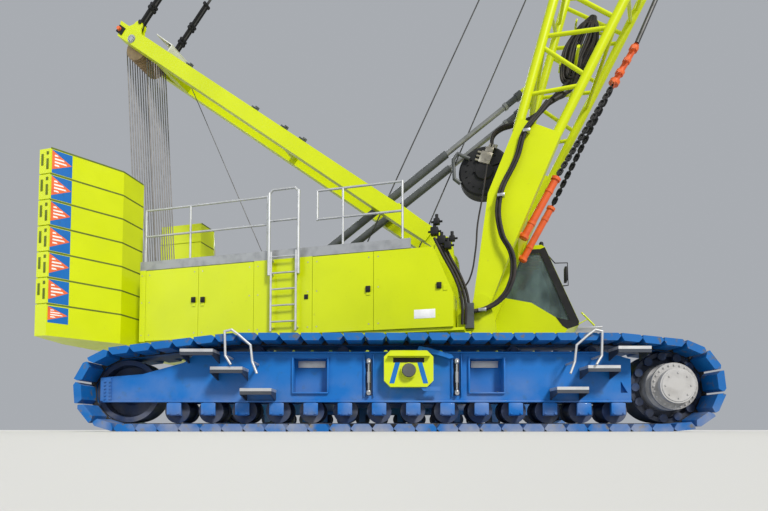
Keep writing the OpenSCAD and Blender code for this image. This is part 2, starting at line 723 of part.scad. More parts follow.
// Boom lattice: side braces zigzag between the chords, and face braces cross from side to side
module chords(u0, u1) {
  for (side = [-1, 1]) for (row = [rear_line, front_line]) bar(chord(u0, row, side), chord(u1, row, side), chord_r);
}
module side_braces(u0, n) {
  for (side = [-1, 1]) for (k = [0 : n - 1]) {
    u = u0 + k * bay;
    bar(chord(u + brace_gap, rear_line, side), chord(u + bay / 2 - brace_gap, front_line, side), brace_r);
    bar(chord(u + bay / 2 + brace_gap, front_line, side), chord(u + bay - brace_gap, rear_line, side), brace_r);
  }
}
module face_braces(u0, n) {
  for (k = [0 : n - 1]) {
    side = k % 2 == 0 ? 1 : -1;
    rear_u = u0 + (k + 0.5) * bay;
    bar(chord(rear_u, rear_line, side), chord(rear_u + bay - 2 * brace_gap, rear_line, -side), brace_r);
    bar(chord(rear_u + bay / 2, front_line, side),
      chord(rear_u + 1.5 * bay - 2 * brace_gap, front_line, -side), brace_r);
  }
}
// Square ends of the chords, where two sections are pinned together
module chord_ends(u0, u1) {
  for (side = [-1, 1]) for (row = [rear_line, front_line]) {
    c = chord((u0 + u1) / 2, row, side);
    block([u0, c.y - chord_r + 2, c.z - chord_r - 15], [u1, c.y + chord_r - 2, c.z + chord_r + 15]);
  }
}
module boom_foot() {
  color("#b8c423") on_boom() {
    both_sides() difference() {
      plate(boom_leg_in, boom_leg_out) union() {
        circle(r = 160);
        polygon([[-20, -159], [1200, -175], [3300, -270], [3400, 560], [1950, 600], [20, 159]]);
      }
      pin(0, 0, boom_leg_in - 1, boom_leg_out + 1, boom_pin_r + 3);
    }
    block([1400, -boom_leg_in - 5, -185], [1900, boom_leg_in + 5, -100]);
    block([3050, -boom_leg_in - 5, 380], [3250, boom_leg_in + 5, 560]);
    chords(taper_u, knee_u - 60);
    chords(knee_u + 60, foot_len - 1);
    chord_ends(knee_u - 80, foot_len - 1);
    side_braces(3790, 5);
    face_braces(3790, 4);
    bar([4450, -chord_y, 640], [4450, chord_y, 640], 60);
    for (y = [-stop_y, stop_y]) bar([stop_seat.x, y, stop_seat.y], [4450, y, 680], 70);
  }
}
module boom_insert() {
  color("#b8c423") on_boom() {
    chords(insert_u + 1, head_u - 1);
    chord_ends(insert_u + 1, insert_u + 200);
    chord_ends(head_u - 220, head_u - 1);
    side_braces(insert_u + 400, floor((insert_len - 700) / bay));
    face_braces(insert_u + 400, floor((insert_len - 700) / bay) - 1);
  }
}
module boom_head() {
  color("#b8c423") on_boom() {
    chords(head_u + 1, head_knee_u - 60);
    chords(head_knee_u + 60, tip_u);
    chord_ends(head_u + 1, head_u + 200);
    chord_ends(head_knee_u - 90, head_knee_u + 90);
    side_braces(head_u + 400, 7);
    face_braces(head_u + 400, 6);
    for (v = [rear_line, front_line]) bar(chord(tip_u - 1250, v, -1), chord(tip_u - 1250, v, 1), brace_r);
    both_sides() plate(430, 510) union() {
      polygon([[tip_u - 300, -400], [tip_u + 100, -450], [boom_len, -300], [boom_len - 150, 300],
        [tip_u - 100, 620], [tip_u - 400, 560]]);
      translate([tip_u + 150, -330]) circle(r = 150);
    }
    bar([tip_u - 250, -505, 350], [tip_u - 250, 505, 350], 60);
    bar([tip_u - 315, -505, -150], [tip_u - 315, 505, -150], 60);
  }
}
module head_sheaves() {
  color("#a58d6a") on_boom() {
    for (y = [-300 : 120 : 300]) turned_x(tip_u + 150, -330) translate([0, y]) polygon([[0, -45], [400, -45],
      [400, -30], [360, -8], [360, 8], [400, 30], [400, 45], [0, 45]]);
    pin(tip_u + 150, -330, -430, 430, 55);
  }
}
winch_r = 510;
module boom_winch() {
  u = 2700;
  v = 1000;
  color("#8f9894") on_boom() turned_x(u, v) polygon([[0, -160], [winch_r - 40, -160], [winch_r, -135],
    [winch_r, 135], [winch_r - 40, 160], [0, 160]]);
  color("#b8c423") on_boom() both_sides() plate(160, 190) polygon([[2600, 1200], [2800, 1200],
    [3240, 560], [3060, 560]]);
}
// Bridle in front of the boom: two tensioners, with chains that meet at one fitting in the middle plane
bridle_y = 660;
bridle_top = [4970, 0, -760];
module tie_back() {
  color("#d9541e") on_boom() {
    both_sides() {
      bar([1500, bridle_y, -185], [1500, bridle_y, -270], 45);
      bar([1430, bridle_y, -262], [2680, bridle_y, -440], 70);
      bar([2680, bridle_y, -440], bridle_top, 18);
    }
    bar(bridle_top, [5775, 0, -898], 60);
  }
}
module pendants() {
  color("#5c5f61") on_boom() both_sides() {
    bar(pendant_low, pendant_high, pendant_r);
    translate(pendant_low) rotate([90, 0, 0]) translate([0, 0, -25]) cylinder(h = 50, r = 90);
  }
}
// Lug pin of the gantry, as a place in the boom's own frame
lug_at = in_boom(gantry_pin_x + gantry_len * cos(gantry_rest), gantry_pin_z + gantry_len * sin(gantry_rest));
pendant_low = [lug_at.x, 550, lug_at.y];
pendant_high = [tip_u, 550, 550];

// Gantry
// How far the legs' heads stand behind the lug pin
leg_set = 295;
module a_frame() {
  color("#b8c423") on_gantry() {
    both_sides() {
      difference() {
        plate(foot_in, foot_out) union() {
          circle(r = 150);
          polygon([[0, -150], [1300, -160], [1300, 160], [0, 150]]);
        }
        pin(0, 0, foot_in - 1, foot_out + 1, gantry_pin_r + 3);
      }
      plate(leg_in, leg_out) polygon([[350, -150], [1000, 25 - leg_h / 2],
        [gantry_len + 450, leg_set - leg_h / 2], [gantry_len + 300, leg_set + leg_h / 2],
        [1000, 25 + leg_h / 2], [350, 150]]);
      for (y = [480, 590]) plate(y, y + 30) union() {
        polygon([[gantry_len - 260, 180], [gantry_len + 260, 180], [gantry_len + 110, 0],
          [gantry_len - 110, 0]]);
        translate([gantry_len, 0]) circle(r = 120);
      }
    }
    bar([4500, -leg_in - 5, 140], [4500, leg_in + 5, 140], 90);
    block([gantry_len - 1150, -leg_in - 5, 170], [gantry_len - 700, leg_in + 5, 410]);
  }
}
module gantry_sheaves() {
  color("#a58d6a") on_gantry() {
    for (y = [-320 : 80 : 320]) turned_x(gantry_len, 400) translate([0, y]) polygon([[0, -30],
      [sheave_r, -30], [sheave_r, -20], [sheave_r - 35, -6], [sheave_r - 35, 6], [sheave_r, 20],
      [sheave_r, 30], [0, 30]]);
    pin(gantry_len, 400, -leg_in, leg_in, 60);
  }
}

// Backstops
module backstop_tubes() {
  color("#8f9894") on_stop() both_sides() difference() {
    union() {
      pin(0, 0, stop_y - 60, stop_y + 60, 100);
      bar([40, stop_y, 0], [stop_len, stop_y, 0], stop_r);
    }
    bar([400, stop_y, 0], [stop_len + 1, stop_y, 0], stop_rod_r + 3);
    pin(0, 0, stop_y - 81, stop_y + 81, 48);
  }
}
module backstop_rods() {
  color("#c4c8ca") on_stop() both_sides() {
    bar([rod_back, stop_y, 0], [rod_back + rod_len - 60, stop_y, 0], stop_rod_r);
    bar([rod_back + rod_len - 60, stop_y, 0], [rod_back + rod_len, stop_y, 0], 75);
  }
}

car_body();
slew_ring();
side_frame_right();
side_frame_left();
track_right();
track_left();
idlers();
drives();
rollers();
steps();
charging_inlet();
slewing_frame();
right_house();
left_house();
battery_block();
winches();
catwalk();
railings();
ladder();
counterweight_base();
counterweight_slabs();
luffing_block();
cab_support();
hose_bracket();
gantry_cylinders();
door_a();
door_b();
door_d();
door_e();
cab_shell();
cab_glass();
cab_seat();
cab_door();
cab_door_glass();
boom_foot();
boom_insert();
boom_head();
head_sheaves();
boom_winch();
tie_back();
pendants();
a_frame();
gantry_sheaves();
backstop_tubes();
backstop_rods();
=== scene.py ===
"""Looks of the crawler crane: finishes, ropes, hoses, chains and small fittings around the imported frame."""

import math

import bmesh
import bpy
from mathutils import Matrix, Vector


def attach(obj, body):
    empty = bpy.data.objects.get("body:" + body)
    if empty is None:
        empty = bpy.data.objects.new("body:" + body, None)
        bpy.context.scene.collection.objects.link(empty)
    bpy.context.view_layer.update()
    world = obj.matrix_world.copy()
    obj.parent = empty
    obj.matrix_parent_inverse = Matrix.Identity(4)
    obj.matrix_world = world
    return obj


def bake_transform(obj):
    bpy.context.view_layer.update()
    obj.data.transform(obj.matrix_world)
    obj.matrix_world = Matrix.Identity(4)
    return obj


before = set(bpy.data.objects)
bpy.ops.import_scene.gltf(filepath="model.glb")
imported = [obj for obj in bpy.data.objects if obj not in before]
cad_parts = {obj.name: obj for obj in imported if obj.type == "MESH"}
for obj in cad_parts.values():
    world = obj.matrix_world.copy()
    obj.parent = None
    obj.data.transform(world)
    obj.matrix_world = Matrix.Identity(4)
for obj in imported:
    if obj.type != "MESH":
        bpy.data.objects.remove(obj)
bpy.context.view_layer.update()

# Places, in metres and degrees
SLEW_REST = -14.0
BOOM_REST = 69.0
GANTRY_REST = 140.77
STOP_REST = 34.6
BOOM_PIN = Vector((1.87, 0.0, 2.33))
GANTRY_PIN = Vector((1.15, 0.0, 3.6))
GANTRY_LEN = 9.14
TIP_U = 31.6
HOUSE_Y = 1.5
ROOF_Z = 3.29
TRACK_Y = 3.0
FRAME_OUT = 0.3
SPROCKET_X, SPROCKET_Z = 3.93, 0.645
IDLER_X, IDLER_Z = -3.95, 0.59
ROLLERS = 14
SHOES = 64
CHARGER_X = 0.15
# Along and above the boom's axis, and x and z on the upper
WINCH_AT = (2.7, 1.0)
BLOCK_AT = (-5.73, 2.9)
SIDES = ((-1, "right"), (1, "left"))

WORLD = Matrix.Identity(4)
UPPER = Matrix.Rotation(math.radians(SLEW_REST), 4, "Z")
BOOM = UPPER @ Matrix.Translation(BOOM_PIN) @ Matrix.Rotation(-math.radians(BOOM_REST), 4, "Y")
GANTRY = UPPER @ Matrix.Translation(GANTRY_PIN) @ Matrix.Rotation(-math.radians(GANTRY_REST), 4, "Y")


# Camera, floor and studio light
CAMERA_AT = (-0.2, -10.82, 0.02)
CAMERA_PITCH = 2.6
CAMERA_LENS = 24.4
CAMERA_SHIFT = 0.1965
SHIFT_GONE_AT = 1.0
BACKDROP = (0.82, 0.86, 0.92, 1.0)
BACKDROP_STRENGTH = 0.48
FLOOR_SIZE = 400.0
FLOOR_COLOUR = (0.58, 0.575, 0.56, 1.0)
# Name, place, aim, spread in degrees, strength, colour
LIGHTS = (
    ("key", (14.0, -24.0, 26.0), (0.0, 0.0, 3.0), 12.0, 3.5, (1.0, 0.97, 0.92)),
    ("fill", (-22.0, -16.0, 12.0), (0.0, 0.0, 3.0), 35.0, 0.6, (0.9, 0.95, 1.0)),
    ("rim", (-6.0, 26.0, 20.0), (0.0, 0.0, 4.0), 25.0, 0.85, (0.95, 0.97, 1.0)),
)


def make_camera():
    data = bpy.data.cameras.new("camera")
    data.sensor_width = 36.0
    data.lens = CAMERA_LENS
    data.shift_y = CAMERA_SHIFT
    data.clip_end = 500.0
    camera = bpy.data.objects.new("camera", data)
    camera.location = CAMERA_AT
    camera.rotation_euler = (math.radians(90.0 + CAMERA_PITCH), 0.0, 0.0)
    bpy.context.scene.collection.objects.link(camera)
    bpy.context.scene.camera = camera
    # The lens shift belongs to the viewpoint on the floor, so it fades out when the camera is raised
    curve = data.driver_add("shift_y")
    curve.driver.type = "SUM"
    height = curve.driver.variables.new()
    height.type = "TRANSFORMS"
    height.targets[0].id = camera
    height.targets[0].transform_type = "LOC_Z"
    for modifier in list(curve.modifiers):
        curve.modifiers.remove(modifier)
    curve.keyframe_points.insert(CAMERA_AT[2], CAMERA_SHIFT).interpolation = "LINEAR"
    curve.keyframe_points.insert(SHIFT_GONE_AT, 0.0).interpolation = "LINEAR"


def soft_light(name, at, towards, spread, strength, colour):
    """A far light, the same all over the floor. Its spread in degrees gives soft shadows."""
    data = bpy.data.lights.new(name, "SUN")
    data.angle = math.radians(spread)
    data.energy = strength
    data.color = colour
    light = bpy.data.objects.new(name, data)
    light.location = at
    light.rotation_mode = "QUATERNION"
    light.rotation_quaternion = (Vector(towards) - Vector(at)).to_track_quat("-Z", "Y")
    bpy.context.scene.collection.objects.link(light)


def make_studio():
    bpy.context.scene.view_settings.view_transform = "Standard"
    for light in LIGHTS:
        soft_light(*light)
    world = bpy.data.worlds.new("studio")
    bpy.context.scene.world = world
    world.use_nodes = True
    background = world.node_tree.nodes["Background"]
    background.inputs["Color"].default_value = BACKDROP
    background.inputs["Strength"].default_value = BACKDROP_STRENGTH


def make_floor():
    mesh = bpy.data.meshes.new("floor")
    bm = bmesh.new()
    bmesh.ops.create_grid(bm, x_segments=1, y_segments=1, size=FLOOR_SIZE)
    bm.to_mesh(mesh)
    bm.free()
    floor = bpy.data.objects.new("floor", mesh)
    floor.location = (0.0, 0.0, -0.001)
    bpy.context.scene.collection.objects.link(floor)
    material = bpy.data.materials.new("pale_floor")
    material.use_nodes = True
    shader = material.node_tree.nodes["Principled BSDF"]
    shader.inputs["Base Color"].default_value = FLOOR_COLOUR
    shader.inputs["Roughness"].default_value = 0.85
    mesh.materials.append(material)


# Finishes
class Finish:
    """A material with a soft colour variation, a fine bump, and dust low down and on faces that look up."""

    def __init__(self, name, colour, roughness, metallic=0.0, coat=0.0, glare=0.5):
        self.material = bpy.data.materials.new(name)
        self.material.use_nodes = True
        self.tree = self.material.node_tree
        self.nodes = self.tree.nodes
        self.shader = self.nodes["Principled BSDF"]
        self.shader.inputs["Roughness"].default_value = roughness
        self.shader.inputs["Metallic"].default_value = metallic
        self.shader.inputs["Coat Weight"].default_value = coat
        self.shader.inputs["Specular IOR Level"].default_value = glare
        self.shader.inputs["Base Color"].default_value = (*colour, 1.0)
        self.place = self.nodes.new("ShaderNodeTexCoord").outputs["Object"]
        self.colour = None
        self.flat = (*colour, 1.0)

    def link(self, a, b):
        self.tree.links.new(a, b)

    def maths(self, kind, a, b=0.0, clamp=False):
        node = self.nodes.new("ShaderNodeMath")
        node.operation = kind
        node.use_clamp = clamp
        for socket, value in zip(node.inputs, (a, b)):
            if isinstance(value, (int, float)):
                socket.default_value = value
            else:
                self.link(value, socket)
        return node.outputs[0]

    def noise(self, scale, detail=4.0, stretch=(1.0, 1.0, 1.0)):
        mapping = self.nodes.new("ShaderNodeMapping")
        mapping.inputs["Scale"].default_value = stretch
        self.link(self.place, mapping.inputs["Vector"])
        node = self.nodes.new("ShaderNodeTexNoise")
        node.inputs["Scale"].default_value = scale
        node.inputs["Detail"].default_value = detail
        self.link(mapping.outputs[0], node.inputs["Vector"])
        return node.outputs["Fac"]

    def ramp(self, value, low, high):
        node = self.nodes.new("ShaderNodeMapRange")
        node.inputs["From Min"].default_value = low
        node.inputs["From Max"].default_value = high
        self.link(value, node.inputs["Value"])
        return node.outputs[0]

    def part(self, axis):
        node = self.nodes.new("ShaderNodeSeparateXYZ")
        self.link(self.place, node.inputs[0])
        return node.outputs[axis]

    def facing_up(self):
        geometry = self.nodes.new("ShaderNodeNewGeometry")
        node = self.nodes.new("ShaderNodeSeparateXYZ")
        self.link(geometry.outputs["Normal"], node.inputs[0])
        return self.ramp(node.outputs["Z"], 0.35, 0.95)

    def mix(self, share, colour):
        """Lays a colour over what is there, by a share from 0 to 1."""
        node = self.nodes.new("ShaderNodeMix")
        node.data_type = "RGBA"
        if isinstance(share, (int, float)):
            node.inputs["Factor"].default_value = share
        else:
            self.link(share, node.inputs["Factor"])
        if self.colour is None:
            node.inputs["A"].default_value = self.flat
        else:
            self.link(self.colour, node.inputs["A"])
        node.inputs["B"].default_value = (*colour, 1.0)
        self.colour = node.outputs["Result"]
        self.link(self.colour, self.shader.inputs["Base Color"])
        return self

    def mottle(self, scale, colour, low=0.45, high=0.75, stretch=(1.0, 1.0, 1.0)):
        return self.mix(self.ramp(self.noise(scale, 5.0, stretch), low, high), colour)

    def dust(self, colour, top=1.2, amount=0.5):
        """Dust near the ground and on faces that look up, broken up by noise."""
        low = self.ramp(self.part("Z"), top, 0.0)
        share = self.maths("MAXIMUM", low, self.maths("MULTIPLY", self.facing_up(), 0.7))
        patchy = self.maths("MULTIPLY", share, self.ramp(self.noise(2.3, 8.0), 0.38, 0.68))
        return self.mix(self.maths("MULTIPLY", patchy, amount, True), colour)

    def rough(self, low, high, scale=3.0):
        node = self.nodes.new("ShaderNodeMapRange")
        node.inputs["To Min"].default_value = low
        node.inputs["To Max"].default_value = high
        self.link(self.noise(scale, 6.0), node.inputs["Value"])
        self.link(node.outputs[0], self.shader.inputs["Roughness"])
        return self

    def bump(self, scale, strength, distance=0.004):
        node = self.nodes.new("ShaderNodeBump")
        node.inputs["Strength"].default_value = strength
        node.inputs["Distance"].default_value = distance
        self.link(self.noise(scale, 6.0), node.inputs["Height"])
        self.link(node.outputs[0], self.shader.inputs["Normal"])
        return self


DUST = (0.36, 0.33, 0.28)


def lime_paint():
    finish = Finish("lime_paint", (0.57, 0.66, 0.0), 0.42, coat=0.02, glare=0.3)
    finish.mottle(0.9, (0.5, 0.59, 0.001), 0.4, 0.8)
    finish.mottle(14.0, (0.47, 0.54, 0.015), 0.66, 0.8)
    return finish.dust(DUST, 2.1, 0.22).rough(0.26, 0.46).bump(60.0, 0.06).material


def blue_paint():
    finish = Finish("blue_paint", (0.0, 0.12, 0.42), 0.42, coat=0.03, glare=0.32)
    finish.mottle(1.4, (0.002, 0.14, 0.46), 0.4, 0.8)
    finish.mottle(9.0, (0.01, 0.1, 0.27), 0.6, 0.8)
    return finish.dust(DUST, 0.9, 0.5).rough(0.3, 0.6).bump(50.0, 0.08).material


def track_paint():
    finish = Finish("track_paint", (0.0, 0.1, 0.34), 0.5, glare=0.32)
    finish.mottle(2.2, (0.003, 0.125, 0.4), 0.4, 0.75)
    finish.mottle(11.0, (0.1, 0.1, 0.095), 0.58, 0.72)
    return finish.dust(DUST, 0.5, 0.7).rough(0.4, 0.8).bump(30.0, 0.25).material


# Reach of the grey about an axle, and the chains' stretch along the boom
HUB_REACH = 0.347
CHAIN_FROM, CHAIN_TO = 2.69, 4.9


def drive_paint():
    """Grey about the axles of the final drives, dark on the sprockets' rims further out."""
    finish = Finish("drive_grey", (0.36, 0.355, 0.35), 0.5)
    finish.mottle(6.0, (0.22, 0.215, 0.21), 0.42, 0.72)
    across = finish.maths("SUBTRACT", finish.part("X"), SPROCKET_X)
    up = finish.maths("SUBTRACT", finish.part("Z"), SPROCKET_Z)
    reach = finish.maths("SQRT", finish.maths("ADD", finish.maths("MULTIPLY", across, across),
                                              finish.maths("MULTIPLY", up, up)))
    finish.mix(finish.maths("GREATER_THAN", reach, HUB_REACH), (0.012, 0.022, 0.05))
    return finish.dust(DUST, 0.9, 0.3).rough(0.4, 0.7).bump(60.0, 0.1).material


def chain_paint():
    """Orange on the tensioners and the fitting in the middle, dark on the chains between them."""
    finish = Finish("chain_orange", (0.7, 0.1, 0.012), 0.42)
    finish.mottle(6.0, (0.55, 0.07, 0.012), 0.45, 0.75)
    lean, turn = math.radians(BOOM_REST), math.radians(SLEW_REST)
    way = (math.cos(lean) * math.cos(turn), math.cos(lean) * math.sin(turn), math.sin(lean))
    foot = UPPER @ BOOM_PIN
    terms = [finish.maths("MULTIPLY", finish.maths("SUBTRACT", finish.part(axis), foot[i]), way[i])
             for i, axis in enumerate("XYZ")]
    reach = finish.maths("ADD", finish.maths("ADD", terms[0], terms[1]), terms[2])
    past_start = finish.maths("GREATER_THAN", reach, CHAIN_FROM)
    before_end = finish.maths("LESS_THAN", reach, CHAIN_TO)
    finish.mix(finish.maths("MULTIPLY", past_start, before_end), (0.02, 0.02, 0.022))
    return finish.dust(DUST, 0.9, 0.1).rough(0.35, 0.6).bump(60.0, 0.1).material


# Each tread's middle and top
STEP_PLACES = ((-2.81, 1.15), (-2.39, 0.9), (-1.98, 0.6), (3.29, 1.19), (2.86, 0.92), (2.42, 0.62))
TREAD_HALF, TREAD_EDGE, TREAD_DEPTH = 0.26, 0.042, 0.17


def grating_paint():
    """Galvanised, with a band of painted shade below each tread's bright edge where the steps' open gratings
    would show dark.
    """
    finish = Finish("step_grating", (0.52, 0.53, 0.54), 0.45, 0.6)
    finish.mottle(6.0, (0.4, 0.41, 0.43), 0.45, 0.75)
    shade = 0.0
    for x, top in STEP_PLACES:
        aside = finish.maths("ABSOLUTE", finish.maths("SUBTRACT", finish.part("X"), x))
        near = finish.maths("LESS_THAN", aside, TREAD_HALF)
        below = finish.maths("LESS_THAN", finish.part("Z"), top - TREAD_EDGE)
        above = finish.maths("GREATER_THAN", finish.part("Z"), top - TREAD_DEPTH)
        spot = finish.maths("MULTIPLY", near, finish.maths("MULTIPLY", below, above))
        shade = finish.maths("ADD", spot, shade, True)
    # Painted shade: a near-black band under each tread in place of the shadowed openings of the grating
    finish.mix(shade, (0.05, 0.06, 0.08))
    return finish.dust(DUST, 1.2, 0.2).rough(0.4, 0.6).bump(70.0, 0.1).material


def plain_finish(name, colour, other, roughness, metallic=0.0, dusty=0.2, bumpy=0.1, glare=0.5):
    finish = Finish(name, colour, roughness, metallic, glare=glare)
    finish.mottle(6.0, other, 0.45, 0.75).dust(DUST, 1.2, dusty)
    return finish.rough(roughness * 0.8, min(1.0, roughness * 1.3)).bump(70.0, bumpy).material


def clear_glass():
    finish = Finish("tinted_glass", (0.05, 0.08, 0.08), 0.04)
    finish.mottle(1.5, (0.3, 0.42, 0.42), 0.4, 0.62, (1.0, 1.0, 0.6))
    finish.shader.inputs["Transmission Weight"].default_value = 0.75
    finish.shader.inputs["IOR"].default_value = 1.45
    return finish.rough(0.02, 0.08).bump(3.0, 0.02).material


LIME = lime_paint()
BLUE = blue_paint()
TRACK = track_paint()
DRIVE = drive_paint()
CHAIN = chain_paint()
GRATING = grating_paint()
DARK_BLUE = plain_finish("idler_blue", (0.006, 0.03, 0.1), (0.02, 0.03, 0.05), 0.5, 0.2, 0.4)
CREAM = plain_finish("valve_metal", (0.4, 0.37, 0.3), (0.16, 0.15, 0.13), 0.36, 0.8)
GREY_PAINT = plain_finish("cover_grey", (0.42, 0.415, 0.41), (0.3, 0.295, 0.29), 0.5, 0.0, 0.3)
GALVANISED = plain_finish("galvanised", (0.52, 0.53, 0.54), (0.4, 0.41, 0.43), 0.45, 0.6)
STEEL = plain_finish("machined_steel", (0.42, 0.43, 0.44), (0.3, 0.31, 0.32), 0.38, 0.9)
TAN = plain_finish("sheave_tan", (0.36, 0.25, 0.14), (0.26, 0.18, 0.1), 0.6)
WINCH = plain_finish("winch_grey", (0.07, 0.078, 0.08), (0.045, 0.05, 0.05), 0.45)
BLACK = plain_finish("black_plastic", (0.009, 0.0095, 0.011), (0.018, 0.018, 0.02), 0.55, glare=0.25)
RUBBER = plain_finish("hose_rubber", (0.014, 0.012, 0.012), (0.04, 0.03, 0.024), 0.6, glare=0.35)
ROPE = plain_finish("wire_rope", (0.1, 0.1, 0.1), (0.05, 0.05, 0.05), 0.45, 0.8)
BRIGHT_ROPE = plain_finish("luffing_rope", (0.2, 0.19, 0.19), (0.14, 0.135, 0.135), 0.5, 0.3)
ORANGE = plain_finish("chain_orange", (0.75, 0.13, 0.02), (0.6, 0.08, 0.02), 0.42)
CHROME = plain_finish("rod_steel", (0.3, 0.31, 0.3), (0.22, 0.23, 0.22), 0.3, 0.7, 0.05, 0.02)
OLIVE = plain_finish("seam_shadow", (0.1, 0.14, 0.003), (0.07, 0.1, 0.003), 0.7)
TOE_GREY = plain_finish("toe_board", (0.34, 0.35, 0.36), (0.24, 0.25, 0.26), 0.5, 0.5)
GLASS = clear_glass()
WHITE = plain_finish("white_film", (0.8, 0.8, 0.78), (0.68, 0.68, 0.66), 0.4)

NODE_FINISH = {
    "car_body": BLUE, "slew_ring": STEEL, "side_frame_right": BLUE, "side_frame_left": BLUE,
    "track_right": TRACK, "track_left": TRACK, "idlers": DARK_BLUE, "drives": DRIVE, "rollers": DARK_BLUE,
    "steps": GRATING, "charging_inlet": LIME, "slewing_frame": LIME, "right_house": LIME,
    "left_house": LIME, "battery_block": BLACK, "winches": WINCH, "catwalk": TOE_GREY,
    "railings": GALVANISED, "ladder": GALVANISED, "counterweight_base": LIME, "counterweight_slabs": LIME,
    "luffing_block": TAN, "cab_support": LIME, "hose_bracket": WINCH, "gantry_cylinders": WINCH,
    "door_a": LIME, "door_b": LIME, "door_d": LIME, "door_e": LIME, "cab_shell": LIME, "cab_glass": GLASS,
    "cab_seat": BLACK, "cab_door": LIME, "cab_door_glass": GLASS, "boom_foot": LIME, "boom_insert": LIME,
    "boom_head": LIME, "head_sheaves": TAN, "boom_winch": BLACK, "tie_back": CHAIN, "pendants": ROPE,
    "a_frame": LIME, "gantry_sheaves": TAN, "backstop_tubes": WINCH, "backstop_rods": CHROME,
}


def dress_nodes():
    for name, material in NODE_FINISH.items():
        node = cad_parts[name]
        node.data.materials.clear()
        node.data.materials.append(material)


# Makers of small pieces
def settle(name, bm, place, body, material):
    """Turns a bmesh drawn in a local frame into a piece that rides on a body."""
    bm.transform(place)
    bmesh.ops.remove_doubles(bm, verts=bm.verts, dist=0.00001)
    bmesh.ops.recalc_face_normals(bm, faces=bm.faces)
    mesh = bpy.data.meshes.new(name)
    bm.to_mesh(mesh)
    bm.free()
    mesh.materials.append(material)
    mesh.polygons.foreach_set("use_smooth", [True] * len(mesh.polygons))
    mesh.set_sharp_from_angle(angle=math.radians(35.0))
    piece = bpy.data.objects.new(name, mesh)
    bpy.context.scene.collection.objects.link(piece)
    if body:
        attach(piece, body)
    return piece


def along(p, q):
    """Matrix that puts a shape drawn along Z between p and q, at its middle."""
    p, q = Vector(p), Vector(q)
    turn = (q - p).to_track_quat("Z", "Y").to_matrix().to_4x4()
    return Matrix.Translation((p + q) / 2) @ turn


def add_bar(bm, p, q, radius, sides=12, tip=None):
    length = (Vector(q) - Vector(p)).length
    bmesh.ops.create_cone(bm, cap_ends=True, segments=sides, radius1=radius,
                          radius2=radius if tip is None else tip, depth=length, matrix=along(p, q))


def add_box(bm, low, high, bevel=0.0):
    low, high = Vector(low), Vector(high)
    place = Matrix.Translation((low + high) / 2) @ Matrix.Diagonal((*(high - low), 1.0))
    made = bmesh.ops.create_cube(bm, size=1.0, matrix=place)
    if bevel:
        edges = list(dict.fromkeys(e for v in made["verts"] for e in v.link_edges))
        bmesh.ops.bevel(bm, geom=edges, offset=bevel, offset_type="OFFSET", segments=2, profile=0.5,
                        affect="EDGES", material=-1)


def add_side_box(bm, y0, y1, low, high, bevel=0.0):
    """A box on either side of the crane: y0 and y1 may come in any order, low and high are (x, z)."""
    y0, y1 = sorted((y0, y1))
    add_box(bm, (low[0], y0, low[1]), (high[0], y1, high[1]), bevel)


def add_ball(bm, at, radius, around=16, up=10):
    place = Matrix.Translation(at)
    bmesh.ops.create_uvsphere(bm, u_segments=around, v_segments=up, radius=radius, matrix=place)


def add_bolt(bm, at, axis, radius, height):
    """A hexagon head on a round washer."""
    at, axis = Vector(at), Vector(axis).normalized()
    add_bar(bm, at, at + axis * height * 0.25, radius * 1.5, 16)
    add_bar(bm, at + axis * height * 0.25, at + axis * height, radius, 6)


def add_plate(bm, corners, y0, y1):
    """A flat plate whose outline lies in the XZ plane, from y0 to y1."""
    face = bm.faces.new([bm.verts.new((x, y0, z)) for x, z in corners])
    grown = bmesh.ops.extrude_face_region(bm, geom=[face])
    moved = [v for v in grown["geom"] if isinstance(v, bmesh.types.BMVert)]
    bmesh.ops.translate(bm, verts=moved, vec=(0.0, y1 - y0, 0.0))


def tube_piece(name, points, radius, place, body, material, smooth=True, sides=5):
    """A bent tube through the points, as a curve with a round section, made a mesh."""
    curve = bpy.data.curves.new(name, "CURVE")
    curve.dimensions = "3D"
    curve.bevel_depth = radius
    curve.bevel_resolution = sides
    curve.use_fill_caps = True
    curve.resolution_u = 8
    spline = curve.splines.new("BEZIER" if smooth else "POLY")
    if smooth:
        spline.bezier_points.add(len(points) - 1)
        for knot, p in zip(spline.bezier_points, points):
            knot.co = p
            knot.handle_left_type = knot.handle_right_type = "AUTO"
    else:
        spline.points.add(len(points) - 1)
        for knot, p in zip(spline.points, points):
            knot.co = (*p, 1.0)
    holder = bpy.data.objects.new(name + "_curve", curve)
    bpy.context.scene.collection.objects.link(holder)
    graph = bpy.context.evaluated_depsgraph_get()
    mesh = bpy.data.meshes.new_from_object(holder.evaluated_get(graph))
    bm = bmesh.new()
    bm.from_mesh(mesh)
    bpy.data.objects.remove(holder)
    return settle(name, bm, place, body, material)


def taut_rope(name, start, end, radius, material=None):
    """A straight rope between points on two bodies, fixed in the world and not tied to either body."""
    bm = bmesh.new()
    add_bar(bm, start, end, radius, 10)
    piece = settle(name, bm, WORLD, None, material or ROPE)
    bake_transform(piece)
    return piece


# Ropes
HOIST_ROPE_R = 0.014
LUFF_ROPE_R = 0.013
GANTRY_ROPE_R = 0.009
FALLS = 9
FALL_PITCH = 0.085
FIRST_FALL = -0.34
GROOVE_R = 0.268
HEAD_SHEAVE_V = 0.4
# Name, place on the winch, and the rope's place across the boom's tip
HOISTS = (("hoist_rope_front", (0.05, -0.12, 2.62), 0.06), ("hoist_rope_rear", (-1.33, 0.14, 2.62), -0.1))


